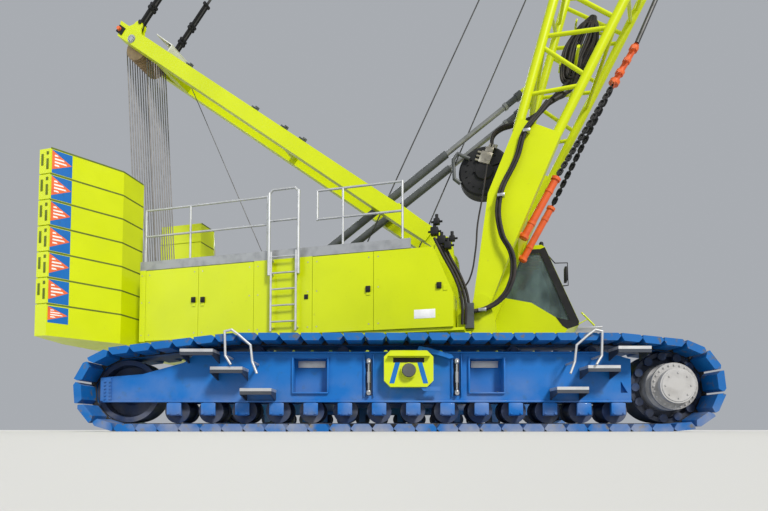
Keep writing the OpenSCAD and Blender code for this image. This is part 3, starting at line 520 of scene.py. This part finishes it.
def make_ropes():
    for name, winch, y in HOISTS:
        tip = BOOM @ Vector((TIP_U + 0.1, y, 0.06))
        taut_rope(name, UPPER @ Vector(winch), tip, HOIST_ROPE_R)
    for i in range(FALLS):
        y = FIRST_FALL + FALL_PITCH * i
        foot = Vector((BLOCK_AT[0], y, BLOCK_AT[1]))
        head = UPPER.inverted() @ GANTRY @ Vector((GANTRY_LEN, y, HEAD_SHEAVE_V))
        aside = (head - foot).cross(Vector((0.0, 1.0, 0.0))).normalized() * GROOVE_R
        for e, where in ((-1, "rear"), (1, "front")):
            low, high = UPPER @ (foot - aside * e), UPPER @ (head - aside * e)
            taut_rope(f"luffing_rope_{i}_{where}", low, high, LUFF_ROPE_R, BRIGHT_ROPE)


# Thin rope from the gantry's leg to the roof, and the sockets that take the backstops' rods on the boom
STOP_PIN = Vector((-2.5, 0.0, 3.05))
STOP_Y = 0.29
STOP_REACH = 6.235


def make_gantry_rope():
    roof, leg = UPPER @ Vector((-2.6, -0.36, 3.34)), GANTRY @ Vector((7.22, -0.38, 0.36))
    taut_rope("gantry_rope", roof, leg, GANTRY_ROPE_R)
    way = Vector((math.cos(math.radians(STOP_REST)), 0.0, math.sin(math.radians(STOP_REST))))
    for side, word in SIDES:
        seat = STOP_PIN + Vector((0.0, side * STOP_Y, 0.0)) + way * STOP_REACH
        bm = bmesh.new()
        add_bar(bm, seat, seat - way * 0.4, 0.062, 24)
        add_bar(bm, seat, seat - way * 0.12, 0.085, 24)
        settle(f"stop_socket_{word}", bm, UPPER, "boom", WINCH)


# Hoses from the upper to the boom, along its near leg
HOSE_LINE = [(3.12, -0.98, 5.95), (2.94, -1.02, 5.71), (2.7, -1.06, 5.4), (2.56, -1.07, 4.95),
             (2.24, -1.12, 4.2), (2.27, -1.14, 3.54), (2.44, -1.15, 3.16), (2.47, -1.15, 2.89),
             (2.42, -1.15, 2.62), (2.29, -1.15, 2.39), (2.06, -1.15, 2.22), (1.85, -1.15, 2.16),
             (1.66, -1.15, 2.16)]
LEG_LINE = [(2.0, -1.03, 4.88), (1.9, -1.04, 4.23), (1.82, -1.05, 3.78), (1.78, -1.05, 3.31),
            (1.67, -1.08, 2.77), (1.54, -1.12, 2.55), (1.5, -1.15, 2.41)]


def make_hoses():
    for i, (dx, dy) in enumerate(((0.0, 0.0), (-0.05, 0.03))):
        points = [(x + dx, y + dy, z - dx * 0.4) for x, y, z in HOSE_LINE]
        hose = tube_piece(f"boom_hose_{i}", points, 0.03, UPPER, None, RUBBER)
        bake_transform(hose)
    line = tube_piece("leg_hose", LEG_LINE, 0.016, UPPER, None, RUBBER)
    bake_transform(line)


# Hoses along the lattice and on the winch of the boom's foot, drawn in the boom's own frame
TRUNK_LINE = [(3.88, -0.93, 0.08), (4.05, -0.85, -0.02), (4.3, -0.62, -0.1), (4.7, -0.4, -0.1),
              (5.1, -0.32, -0.05)]
COIL_TURNS = 13
STRAPS_AT = (4.9, 5.75)
# The three flats of a strap that holds the coil: two across and one upright between them
STRAP_FLATS = ((-0.4, -0.18, -0.28, -0.25), (-0.4, -0.18, 0.27, 0.3), (-0.18, -0.16, -0.28, 0.3))
WINCH_HOSE_LINE = [(3.2, -0.15, 1.03), (3.4, -0.15, 1.08), (3.56, -0.15, 1.0), (3.7, -0.15, 0.8),
                   (3.9, -0.2, 0.45), (4.2, -0.38, 0.2), (4.6, -0.38, 0.0)]
CLAMPS = ((2.7, -1.06, 5.4), (2.245, -1.12, 4.24))


def make_hose_coil():
    """Flat loops that hang on two straps, each a little wider than the last."""
    for i in range(COIL_TURNS):
        spread = 0.02 + 0.019 * i
        y, low, high = -0.34 + 0.05 * (i % 3), 4.72 + 0.03 * (i % 4), 5.9 + 0.05 * (i % 3) - 0.03 * i
        mid = 0.02 + 0.02 * (i % 2)
        loop = [(low + 0.2, y, mid - spread), (high - 0.1, y, mid - spread), (high + spread, y, mid),
                (high - 0.1, y, mid + spread), (low + 0.2, y, mid + spread), (low - spread * 0.6, y, mid),
                (low + 0.19, y, mid - spread)]
        tube_piece(f"hose_coil_{i}", loop, 0.026, BOOM, "boom", RUBBER, sides=3)
    bm = bmesh.new()
    for u in STRAPS_AT:
        for y0, y1, v0, v1 in STRAP_FLATS:
            add_box(bm, (u - 0.03, y0, v0), (u + 0.03, y1, v1), 0.004)
    for end_y in (0.93, -0.93):
        add_bar(bm, (STRAPS_AT[0], -0.17, 0.0), (STRAPS_AT[0], end_y, 0.0), 0.03, 16)
    settle("coil_holder", bm, BOOM, "boom", LIME)


def make_hose_clamps():
    bm = bmesh.new()
    for x, y, z in CLAMPS:
        add_box(bm, (x - 0.065, y - 0.05, z - 0.03), (x + 0.065, y + 0.06, z + 0.03), 0.01)
    settle("hose_clamps", bm, UPPER, "boom", STEEL)
    bm = bmesh.new()
    add_box(bm, (1.83, -1.205, 2.14), (1.97, -1.095, 2.2), 0.01)
    settle("bracket_clamp", bm, UPPER, "upper", STEEL)


def make_boom_hoses():
    for i in range(2):
        points = [(u - 0.05 * i, y + 0.07 * i, v + 0.07 * i) for u, y, v in TRUNK_LINE]
        tube_piece(f"trunk_hose_{i}", points, 0.034, BOOM, "boom", RUBBER, sides=4)
    make_hose_coil()
    for i, dy in enumerate((-0.04, 0.04)):
        arc = [(u, y + dy, v) for u, y, v in WINCH_HOSE_LINE]
        tube_piece(f"winch_hose_{i}", arc, 0.035, BOOM, "boom", RUBBER, sides=4)
    make_hose_clamps()


# Fittings of the winch: valve block, handle and the bolts of its end plate
def make_winch_trim():
    u, v = WINCH_AT
    bm = bmesh.new()
    add_box(bm, (u + 0.12, -0.225, v - 0.06), (u + 0.36, -0.165, v + 0.18), 0.015)
    add_box(bm, (u + 0.36, -0.22, v - 0.04), (u + 0.46, -0.165, v + 0.12), 0.01)
    for k in range(3):
        port_v, port_u = v - 0.06 + 0.06 * k, u + 0.16 + 0.08 * k
        add_bar(bm, (u + 0.46, -0.195, port_v), (u + 0.53, -0.195, port_v), 0.028, 16)
        add_bar(bm, (port_u, -0.195, v + 0.17), (port_u, -0.195, v + 0.25), 0.022, 12)
    add_bar(bm, (u + 0.24, -0.22, v), (u + 0.24, -0.23, v), 0.06, 20)
    settle("winch_valves", bm, BOOM, "boom", CREAM)
    bm = bmesh.new()
    for side in (-1, 1):
        bolt_ring(bm, (u, side * 0.16, v), (0.0, side, 0.0), 0.36, 18, 0.014, 0.02)
        add_bar(bm, (u, side * 0.16, v), (u, side * 0.2, v), 0.2, 32, 0.17)
    settle("winch_bolts", bm, BOOM, "boom", BLACK)
    handle = [(u + 0.14, -0.2, v + 0.36), (u + 0.16, -0.25, v + 0.62), (u + 0.02, -0.25, v + 0.66),
              (u - 0.34, -0.25, v + 0.5), (u - 0.38, -0.2, v + 0.36)]
    tube_piece("winch_handle", handle, 0.04, BOOM, "boom", WINCH, smooth=False, sides=4)


# Chains of the bridle in front of the boom: links turned a quarter from one to the next
LINK_PITCH = 0.088
LINK_WIRE = 0.019
LINK_STEPS = 12
BRIDLE_Y = 0.66
BRIDLE_TOP = Vector((4.97, 0.0, -0.76))
BRIDLE_END = Vector((5.775, 0.0, -0.898))
BRIDLE_STAY = ((5.775, -0.898), (9.9, -1.09), (26.0, -1.09), (31.3, -0.62))


def add_link(bm, at, direction, turned):
    """One long oval link, as a ring with a bend at each end."""
    half, bend = LINK_PITCH * 0.36, 0.036
    across = Vector((0.0, 1.0, 0.0))
    side = across if turned else direction.cross(across).normalized()
    ring = []
    for k in range(LINK_STEPS):
        a = 2.0 * math.pi * k / LINK_STEPS
        reach = bend * math.cos(a)
        if abs(math.cos(a)) > 0.01:
            reach += math.copysign(half, math.cos(a))
        ring.append(at + direction * reach + side * bend * math.sin(a))
    for p, q in zip(ring, ring[1:] + ring[:1]):
        bmesh.ops.create_cone(bm, cap_ends=False, segments=6, radius1=LINK_WIRE, radius2=LINK_WIRE,
                              depth=(q - p).length * 1.15, matrix=along(p, q))


def make_tie_backs():
    for side, word in SIDES:
        low = Vector((2.68, side * BRIDLE_Y, -0.44))
        direction = (BRIDLE_TOP - low).normalized()
        bm = bmesh.new()
        for i in range(int((BRIDLE_TOP - low).length / LINK_PITCH)):
            add_link(bm, low + direction * (i + 0.5) * LINK_PITCH, direction, i % 2 == 0)
        settle(f"tie_back_chain_{word}", bm, BOOM, "boom", BLACK)
        bm = bmesh.new()
        start = Vector((1.43, side * BRIDLE_Y, -0.262))
        way = (low - start).normalized()
        for at, radius in ((0.02, 0.088), (0.3, 0.078), (0.95, 0.078), (1.2, 0.09)):
            p = start + way * at
            add_bar(bm, p, p + way * 0.05, radius, 24)
        settle(f"tensioner_rings_{word}", bm, BOOM, "boom", ORANGE)
        stay = [(u, side * 0.05, v) for u, v in BRIDLE_STAY]
        tube_piece(f"bridle_stay_{word}", stay, 0.042, BOOM, "boom", ROPE, smooth=False,
                   sides=3)
    bm = bmesh.new()
    way = (BRIDLE_END - BRIDLE_TOP).normalized()
    for at, half in ((0.0, 0.1), (0.2, 0.085), (0.45, 0.075), (0.7, 0.085)):
        p = BRIDLE_TOP + way * at
        add_bar(bm, p, p + way * 0.07, half, 20)
        add_bar(bm, p + Vector((0.0, -0.12, 0.0)), p + Vector((0.0, 0.12, 0.0)), 0.035, 16)
    settle("bridle_shackles", bm, BOOM, "boom", ORANGE)


# Forked links at the pendants' lower ends, by the gantry's head
PENDANT_Y = 0.55


def make_pendant_links():
    low, high = BOOM.inverted() @ GANTRY @ Vector((GANTRY_LEN, 0.0, 0.0)), Vector((TIP_U, 0.0, 0.55))
    way = (high - low).normalized()
    for side, word in SIDES:
        bm = bmesh.new()
        for start, end, half in ((0.1, 0.5, 0.034), (0.58, 0.92, 0.028), (1.0, 1.6, 0.03)):
            for edge in (-1, 1):
                shift = Vector((0.0, side * PENDANT_Y + edge * 0.045, 0.0))
                p, q = low + way * start + shift, low + way * end + shift
                add_bar(bm, p, q, half, 8)
            for at in (start, end):
                p = low + way * at + Vector((0.0, side * PENDANT_Y, 0.0))
                add_bar(bm, p - Vector((0.0, 0.09, 0.0)), p + Vector((0.0, 0.09, 0.0)), half + 0.014, 16)
        settle(f"pendant_links_{word}", bm, BOOM, "boom", BLACK)


# Bolts and other fasteners in rows
def bolt_ring(bm, centre, axis, radius, count, size, height):
    axis = Vector(axis).normalized()
    side = axis.orthogonal().normalized()
    other = axis.cross(side)
    for k in range(count):
        a = 2.0 * math.pi * k / count
        at = Vector(centre) + (side * math.cos(a) + other * math.sin(a)) * radius
        add_bolt(bm, at, axis, size, height)


# Round teeth of the sprockets
TEETH = 13
TEETH_R = 0.455


def roller_x(i):
    first, last = IDLER_X + 0.73, SPROCKET_X - 0.76
    return first + i * (last - first) / (ROLLERS - 1)


def make_undercarriage_bolts():
    for side, word in SIDES:
        out = Vector((0.0, side, 0.0))
        face = side * (TRACK_Y + 0.52)
        bm = bmesh.new()
        bolt_ring(bm, (SPROCKET_X, side * (TRACK_Y + 0.44), SPROCKET_Z), out, 0.3, 24, 0.014, 0.02)
        settle(f"drive_bolts_{word}", bm, WORLD, "undercarriage", GREY_PAINT)
        bm = bmesh.new()
        base, rim, top = [(SPROCKET_X, face + side * step, SPROCKET_Z) for step in (-0.07, 0.01, 0.02)]
        add_bar(bm, base, rim, 0.25, 48)
        add_bar(bm, rim, top, 0.235, 48, 0.225)
        bolt_ring(bm, top, out, 0.18, 8, 0.01, 0.012)
        settle(f"drive_cover_{word}", bm, WORLD, "undercarriage", GREY_PAINT)
        bm = bmesh.new()
        for k in range(TEETH):
            a = 2.0 * math.pi * (k + 0.5) / TEETH
            x, z = SPROCKET_X + TEETH_R * math.cos(a), SPROCKET_Z + TEETH_R * math.sin(a)
            add_bar(bm, (x, side * (TRACK_Y + 0.19), z), (x, side * (TRACK_Y + 0.235), z), 0.06, 16)
        settle(f"drive_teeth_{word}", bm, WORLD, "undercarriage", DARK_BLUE)
        bm = bmesh.new()
        y = side * (TRACK_Y + FRAME_OUT + 0.03)
        for i in range(ROLLERS):
            x, cap = roller_x(i), y + side * 0.025
            add_side_box(bm, y, cap, (x - 0.105, 0.235), (x + 0.105, 0.41), 0.012)
            for dx in (-0.07, 0.07):
                add_bolt(bm, (x + dx, cap, 0.26), out, 0.014, 0.02)
        settle(f"roller_bolts_{word}", bm, WORLD, "undercarriage", BLUE)
        bm = bmesh.new()
        for col in range(2):
            for row in range(6):
                add_bolt(bm, (IDLER_X - 0.27 + 0.07 * col, y, 0.47 + 0.05 * row), out, 0.013, 0.018)
        settle(f"idler_bolts_{word}", bm, WORLD, "undercarriage", BLUE)


# Link plates on both sides of the tracks' rails, along the same closed line as the shoes
PIN_Z = 0.085
RUN_Z = 1.38 - PIN_Z
TOP_FRONT = SPROCKET_X - 0.83
TOP_BACK = IDLER_X + 1.6


def pin_line():
    """The pins' places round a track, one to a shoe, from above the idler's foot forwards."""
    line = []

    def wheel(x, z, radius, start, sweep, first):
        steps = 40
        for i in range(first, steps + 1):
            a = math.radians(start + sweep * i / steps)
            line.append(Vector((x + radius * math.cos(a), 0.0, z + radius * math.sin(a))))

    radius_front, radius_back = SPROCKET_Z - PIN_Z, IDLER_Z - PIN_Z
    front = Vector((SPROCKET_X - TOP_FRONT, RUN_Z - SPROCKET_Z))
    back = Vector((TOP_BACK - IDLER_X, RUN_Z - IDLER_Z))
    slope_front = math.degrees(math.atan2(front.y, front.x) - math.asin(radius_front / front.length))
    slope_back = math.degrees(math.atan2(back.y, back.x) - math.asin(radius_back / back.length))
    line.append(Vector((IDLER_X, 0.0, PIN_Z)))
    wheel(SPROCKET_X, SPROCKET_Z, radius_front, -90.0, 180.0 - slope_front, 0)
    line += [Vector((TOP_FRONT, 0.0, RUN_Z)), Vector((TOP_BACK, 0.0, RUN_Z))]
    wheel(IDLER_X, IDLER_Z, radius_back, 90.0 + slope_back, 180.0 - slope_back, 0)
    lengths = [(q - p).length for p, q in zip(line, line[1:])]
    pitch = sum(lengths) / SHOES
    pins, done, k = [], 0.0, 0
    for i in range(SHOES):
        while k < len(lengths) - 1 and done + lengths[k] < i * pitch:
            done += lengths[k]
            k += 1
        pins.append(line[k].lerp(line[k + 1], (i * pitch - done) / lengths[k]))
    return pins


def make_link_plates():
    pins = pin_line()
    for side, word in SIDES:
        bm = bmesh.new()
        for i, p in enumerate(pins):
            q = pins[(i + 1) % SHOES]
            way = (q - p).normalized()
            for edge in (-1, 1):
                y = side * TRACK_Y + edge * (0.222 if i % 2 else 0.214)
                low, high = p - way * 0.04, q + way * 0.04
                middle = (low + high) / 2
                turn = Matrix.Rotation(-math.atan2(way.z, way.x), 4, "Y")
                place = Matrix.Translation((middle.x, y, middle.z)) @ turn
                size = Matrix.Diagonal(((high - low).length, 0.012, 0.066, 1.0))
                bmesh.ops.create_cube(bm, size=1.0, matrix=place @ size)
                add_bar(bm, (p.x, y + edge * 0.006, p.z), (p.x, y + edge * 0.02, p.z), 0.022, 12)
        settle(f"link_plates_{word}", bm, WORLD, "undercarriage", BLACK)


# Trim of the side frames
POCKETS = (-1.265, 1.285)
LASHINGS = (-0.42, 0.85)


def make_frame_trim():
    """Ledges and folded edges of the side frames, and light panels at the back of their pockets."""
    for side, word in SIDES:
        y = side * (TRACK_Y + FRAME_OUT)
        edges = [(IDLER_X + 1.1, SPROCKET_X - 0.95, 1.13, 1.15),
                 (IDLER_X - 0.3, SPROCKET_X - 0.56, 0.42, 0.445)]
        for x in POCKETS:
            edges += [(x + e * 0.255 - 0.012, x + e * 0.255 + 0.012, 0.56, 1.07) for e in (-1, 1)]
            edges.append((x - 0.26, x + 0.26, 0.545, 0.565))
        for x in LASHINGS:
            edges += [(x - 0.075, x - 0.06, 0.5, 1.12), (x + 0.06, x + 0.075, 0.5, 1.12)]
        bm = bmesh.new()
        for x0, x1, z0, z1 in edges:
            add_side_box(bm, y, y + side * 0.04, (x0, z0), (x1, z1), 0.004)
        settle(f"frame_trim_{word}", bm, WORLD, "undercarriage", BLUE)
        bm = bmesh.new()
        inner = side * (TRACK_Y + FRAME_OUT - 0.15)
        for x in POCKETS:
            add_side_box(bm, inner, inner + side * 0.012, (x - 0.2, 0.94), (x + 0.2, 1.04), 0.003)
        settle(f"recess_panels_{word}", bm, WORLD, "undercarriage", GALVANISED)


def make_lashings():
    """Turnbuckle links that hang on the side frames beside the charging box."""
    for side, word in SIDES:
        y = side * (TRACK_Y + FRAME_OUT + 0.045)
        bm = bmesh.new()
        for x in LASHINGS:
            add_bar(bm, (x, y, 0.56), (x, y, 0.98), 0.016, 12)
            add_bar(bm, (x, y, 0.7), (x, y, 0.86), 0.026, 12)
            for pin_z, ball_z in ((1.02, 1.0), (0.55, 0.57)):
                add_bar(bm, (x, y - side * 0.045, pin_z), (x, y + side * 0.03, pin_z), 0.03, 16)
                add_ball(bm, (x, y, ball_z), 0.036)
        settle(f"lashing_links_{word}", bm, WORLD, "undercarriage", STEEL)
        # Painted shade: thin black sheets on the frame's face stand for the dark hollows of the slots behind
        # the links
        bm = bmesh.new()
        face = side * (TRACK_Y + FRAME_OUT)
        for x in LASHINGS:
            add_side_box(bm, face, face + side * 0.004, (x - 0.04, 0.52), (x + 0.04, 1.05), 0.001)
        settle(f"lashing_slots_{word}", bm, WORLD, "undercarriage", BLACK)


# Charging box: stripes, a blank plate, the socket's rim, flap and handle
FLAP = [(0.27, 1.155), (0.3, 1.22), (0.42, 1.2), (0.77, 1.1), (0.8, 1.06), (0.74, 1.04), (0.62, 1.08),
        (0.4, 1.13)]
HANDLE = [(0.24, 0.72), (0.36, 0.575), (0.6, 0.575), (0.6, 0.635), (0.39, 0.635), (0.29, 0.72)]


def make_charging_trim():
    y = -(TRACK_Y + FRAME_OUT + 0.18)
    bm = bmesh.new()
    for e in (-1, 1):
        x = CHARGER_X + e * 0.24
        lean = e * 0.1
        stripe = [(x - 0.035, 0.68), (x + 0.035, 0.68), (x + 0.035 - lean, 1.04), (x - 0.035 - lean, 1.04)]
        add_plate(bm, stripe, y, y - 0.003)
    settle("charging_stripes", bm, WORLD, "undercarriage", BLUE)
    bm = bmesh.new()
    add_box(bm, (-0.07, y - 0.003, 0.975), (0.37, y, 1.045), 0.002)
    settle("charging_plate", bm, WORLD, "undercarriage", BLACK)
    bm = bmesh.new()
    add_bar(bm, (CHARGER_X, y - 0.06, 0.86), (CHARGER_X, y - 0.09, 0.86), 0.1, 32, 0.09)
    settle("charging_rim", bm, WORLD, "undercarriage", WINCH)
    bm = bmesh.new()
    add_plate(bm, FLAP, y + 0.06, y + 0.085)
    add_plate(bm, HANDLE, y + 0.02, y + 0.05)
    settle("charging_flap", bm, WORLD, "undercarriage", BLUE)


# Hazard panels on the counterweight: plain striped triangles on blue, one to a slab and one on the base
STACK_FRONT = -5.31
WING = Vector((STACK_FRONT - 0.66, 2.78, 0.0))
SLAB_Z = 2.36
SLAB_H = 0.494
SLABS = 6
WING_ROOT = Vector((STACK_FRONT, 1.66, 0.0))
WING_RUN = (WING - WING_ROOT).normalized()
WING_OUT = Vector((WING_RUN.y, -WING_RUN.x, 0.0))
PANEL_NEAR, PANEL_FAR = WING - WING_RUN * 0.02, WING - WING_RUN * 0.36


def add_panel_face(bm, side, span, corners, lift):
    """A flat face on a slab's wing, its corners as shares of the panel's width and height."""
    bottom, top = span
    verts = []
    for share, z in corners:
        p = PANEL_NEAR.lerp(PANEL_FAR, share) + WING_OUT * lift
        verts.append(bm.verts.new((p.x, side * p.y, bottom + (top - bottom) * z)))
    bm.faces.new(verts)


def add_slab_marks(dark, side):
    """Thin dark lines of painted shade in the gaps between the slabs, and their marks on the wing's outer
    face.
    """
    for i in range(SLABS + 1):
        z = SLAB_Z + i * SLAB_H + 0.006
        for p, q in ((WING, WING_ROOT), (WING_ROOT, Vector((STACK_FRONT, 1.08, 0.0)))):
            way = (q - p).normalized()
            rise = Vector((-way.y, way.x, 0.0)) * 0.0015
            verts = [dark.verts.new((c.x + rise.x, side * (c.y + rise.y), z + h))
                     for c, h in ((p, -0.016), (q, -0.016), (q, 0.016), (p, 0.016))]
            dark.faces.new(verts)
    for i in range(SLABS):
        z = SLAB_Z + i * SLAB_H
        face = side * (WING.y + 0.003)
        for inset, low, high in ((0.07, 0.1, 0.3), (0.19, 0.18, 0.4), (0.07, 0.38, 0.44)):
            x = WING.x - inset
            add_side_box(dark, face, face + side * 0.004, (x - 0.025, z + low), (x + 0.025, z + high),
                         0.001)


def make_hazard_panels():
    for side, word in SIDES:
        blue, white, orange = bmesh.new(), bmesh.new(), bmesh.new()
        rows = [(SLAB_Z + i * SLAB_H + 0.03, SLAB_Z + (i + 1) * SLAB_H - 0.02) for i in range(SLABS)]
        for span in rows + [(SLAB_Z - 0.34, SLAB_Z - 0.03)]:
            add_panel_face(blue, side, span, [(0, 0), (1, 0), (1, 1), (0, 1)], 0.002)
            add_panel_face(orange, side, span, [(0.0, 0.14), (0.97, 0.52), (0.0, 0.98)], 0.003)
            for z, end in ((0.35, 0.38), (0.49, 0.74), (0.63, 0.62), (0.77, 0.32)):
                stripe = [(0.13, z - 0.035), (end, z - 0.02), (end - 0.06, z + 0.04), (0.13, z + 0.035)]
                add_panel_face(white, side, span, stripe, 0.004)
        dark = bmesh.new()
        add_slab_marks(dark, side)
        # The lines between the slabs are painted shade, in place of the shadow of the gaps
        settle(f"slab_seams_{word}", dark, UPPER, "upper", OLIVE)
        settle(f"hazard_blue_{word}", blue, UPPER, "upper", BLUE)
        settle(f"hazard_orange_{word}", orange, UPPER, "upper", ORANGE)
        settle(f"hazard_white_{word}", white, UPPER, "upper", WHITE)


# House fittings: seams' screws, railings' feet, latches, a blank plate and the front hoses
SEAMS = (-4.86, -3.64, -2.43, -1.22, -0.03)
SCREW_ROWS = (1.95, 2.62, 3.18)
POSTS = (-4.92, -3.88, -2.18, -0.64, 0.5)
# Door, x and z of its latch
LATCHES = (("a", -3.74, 2.61), ("b", -3.53, 2.6), ("d", -0.13, 2.59), ("e", 1.17, 2.57))
FRONT_HOSE_LINE = [(1.06, -1.32, 3.5), (1.2, -1.32, 3.2), (1.46, -1.32, 2.66), (1.55, -1.3, 2.3),
                   (1.55, -1.28, 1.9)]


def make_house_trim():
    for side, word in SIDES:
        bm = bmesh.new()
        y = side * HOUSE_Y
        for x in SEAMS:
            for dx in (-0.09, 0.09):
                for z in SCREW_ROWS:
                    add_bar(bm, (x + dx, y, z), (x + dx, y + side * 0.004, z), 0.012, 12)
        settle(f"house_screws_{word}", bm, UPPER, "upper", STEEL)
        bm = bmesh.new()
        for x in POSTS:
            add_side_box(bm, side * (HOUSE_Y - 0.09), side * (HOUSE_Y - 0.03), (x - 0.035, ROOF_Z + 0.02),
                         (x + 0.035, ROOF_Z + 0.16), 0.008)
        settle(f"rail_feet_{word}", bm, UPPER, "upper", TOE_GREY)
    bm = bmesh.new()
    add_box(bm, (0.72, -HOUSE_Y - 0.003, 2.0), (1.1, -HOUSE_Y, 2.16), 0.001)
    settle("blank_plate", bm, UPPER, "door_e", WHITE)
    bm = bmesh.new()
    add_box(bm, (-1.38, -HOUSE_Y - 0.014, 2.48), (-1.3, -HOUSE_Y, 2.57), 0.006)
    settle("fixed_latch", bm, UPPER, "upper", BLACK)
    y = -HOUSE_Y
    for name, x, z in LATCHES:
        bm = bmesh.new()
        add_box(bm, (x - 0.045, y - 0.034, z - 0.055), (x + 0.045, y - 0.001, z + 0.055), 0.008)
        add_box(bm, (x - 0.02, y - 0.042, z - 0.035), (x + 0.02, y - 0.034, z + 0.02), 0.003)
        settle(f"latch_{name}", bm, UPPER, f"door_{name}", BLACK)
    for i in range(3):
        points = [(x + 0.05 * i, y + 0.09 * i, z + 0.02 * i) for x, y, z in FRONT_HOSE_LINE]
        tube_piece(f"front_hose_{i}", points, 0.026, UPPER, "upper", RUBBER, sides=4)


# Beacon, window film, front bar, step and mirror of the cab
FILM_FACES = ((1.115, 1.12), (1.99, 1.995))
FILM_SHAPES = (
    [(3.796, 2.33), (3.118, 3.995), (3.02, 3.96), (3.028, 3.856), (3.607, 2.362)],
    [(3.607, 2.362), (3.796, 2.33), (3.786, 2.252), (3.56, 2.183), (3.46, 2.25), (3.33, 2.44)],
    [(2.02, 3.88), (3.028, 3.858), (3.02, 3.96), (2.5, 3.98), (2.02, 3.96)],
)
MIRROR_LINE = [(3.2, 1.4, 3.9), (3.34, 1.36, 3.7), (3.6, 1.34, 3.68), (3.61, 1.34, 3.18), (3.5, 1.36, 3.18)]
BEACON = (3.07, 1.6)


def make_cab_trim():
    bm = bmesh.new()
    add_bar(bm, (*BEACON, 4.06), (*BEACON, 4.12), 0.05, 20)
    settle("beacon_foot", bm, UPPER, "cab", BLACK)
    bm = bmesh.new()
    add_bar(bm, (*BEACON, 4.12), (*BEACON, 4.24), 0.055, 24, 0.05)
    add_ball(bm, (*BEACON, 4.24), 0.05, 24, 12)
    settle("beacon", bm, UPPER, "cab", BLACK)
    bm = bmesh.new()
    for y0, y1 in FILM_FACES:
        for shape in FILM_SHAPES:
            add_plate(bm, shape, y0, y1)
    settle("cab_pillar_film", bm, UPPER, "cab", BLACK)
    bm = bmesh.new()
    add_bar(bm, (3.86, 1.25, 2.55), (4.12, 1.25, 2.25), 0.018, 14)
    add_bar(bm, (3.78, 1.25, 2.29), (3.99, 1.25, 2.4), 0.012, 12)
    settle("cab_front_bar", bm, UPPER, "cab", LIME)
    bm = bmesh.new()
    add_box(bm, (3.78, 1.2, 2.2), (4.27, 1.95, 2.22), 0.004)
    settle("cab_front_step", bm, UPPER, "cab", GALVANISED)
    tube_piece("mirror_arm", MIRROR_LINE, 0.012, UPPER, "cab", BLACK, smooth=False)
    bm = bmesh.new()
    add_box(bm, (3.53, 1.24, 3.26), (3.59, 1.46, 3.58), 0.015)
    settle("mirror_case", bm, UPPER, "cab", BLACK)


# Small blocks at the front of the house: x, y, z and half size
VALVES = ((1.09, -1.2, 3.84, 0.055), (1.05, -1.2, 3.66, 0.07), (1.18, -1.2, 3.48, 0.075),
          (1.37, -1.2, 3.5, 0.05), (1.3, -1.25, 3.36, 0.06))


def make_front_fittings():
    bm = bmesh.new()
    for x, y, z, size in VALVES:
        add_box(bm, (x - size, y - size, z - size), (x + size, y + size, z + size), 0.012)
        add_bar(bm, (x, y, z + size), (x, y, z + size + 0.08), 0.03, 16)
        add_bar(bm, (x - size - 0.05, y, z), (x + size + 0.05, y, z), 0.02, 12)
    settle("front_valves", bm, UPPER, "upper", BLACK)


# Small lugs on the top edge of the gantry's legs, which rises towards their head
LUGS = (3.91, 4.44, 5.31, 7.38)
LEG_Y = 0.53
LEG_FROM, LEG_RUN, LEG_RISE, LEG_TOP = 1.0, 8.59, 0.27, -0.135


def make_gantry_lugs():
    bm = bmesh.new()
    for side in (-1, 1):
        for u in LUGS:
            y = side * LEG_Y
            top = LEG_TOP + LEG_RISE * (u - LEG_FROM) / LEG_RUN
            add_box(bm, (u - 0.05, y - 0.015, top - 0.1), (u + 0.05, y + 0.015, top + 0.005), 0.004)
            add_box(bm, (u + 0.06, y - 0.03, top - 0.06), (u + 0.12, y + 0.03, top + 0.005), 0.004)
            add_bar(bm, (u, y - 0.035, top - 0.07), (u, y + 0.035, top - 0.07), 0.022, 16)
    settle("gantry_lugs", bm, GANTRY, "gantry", WINCH)


# Fittings of the gantry's head: sheave caps, rope guard, plates and lamps
CAP_V = 0.33
GUARD_U = GANTRY_LEN - 0.75


def make_head_fittings():
    bm = bmesh.new()
    for side in (-1, 1):
        cap = (GANTRY_LEN - 0.1, side * 0.68, CAP_V)
        add_bar(bm, (cap[0], side * 0.66, CAP_V), cap, 0.1, 32, 0.09)
        bolt_ring(bm, cap, (0.0, side, 0.0), 0.065, 8, 0.012, 0.014)
    settle("sheave_caps", bm, GANTRY, "gantry", STEEL)
    bm = bmesh.new()
    add_box(bm, (GUARD_U, -0.3, -0.17), (GUARD_U + 0.55, 0.3, -0.15), 0.004)
    add_box(bm, (GUARD_U, -0.3, -0.15), (GUARD_U + 0.02, 0.3, 0.18), 0.004)
    for side in (-1, 1):
        add_side_box(bm, side * 0.3, side * 0.4, (GUARD_U, 0.14), (GUARD_U + 0.06, 0.17), 0.004)
    settle("rope_guard", bm, GANTRY, "gantry", WHITE)
    bm = bmesh.new()
    for side in (-1, 1):
        add_side_box(bm, side * 0.66, side * 0.675, (GANTRY_LEN + 0.2, 0.22), (GANTRY_LEN + 0.4, 0.4), 0.004)
    settle("head_plates", bm, GANTRY, "gantry", BLACK)
    bm = bmesh.new()
    for side in (-1, 1):
        u, y, v = GANTRY_LEN + 0.34, side * 0.69, 0.31
        add_bar(bm, (u, y - side * 0.015, v), (u, y + side * 0.03, v), 0.05, 24, 0.04)
    settle("head_lamps", bm, GANTRY, "gantry", ORANGE)


make_camera()
make_studio()
make_floor()
dress_nodes()
make_ropes()
make_gantry_rope()
make_hoses()
make_boom_hoses()
make_winch_trim()
make_tie_backs()
make_pendant_links()
make_undercarriage_bolts()
make_link_plates()
make_frame_trim()
make_lashings()
make_charging_trim()
make_hazard_panels()
make_house_trim()
make_cab_trim()
make_front_fittings()
make_gantry_lugs()
make_head_fittings()
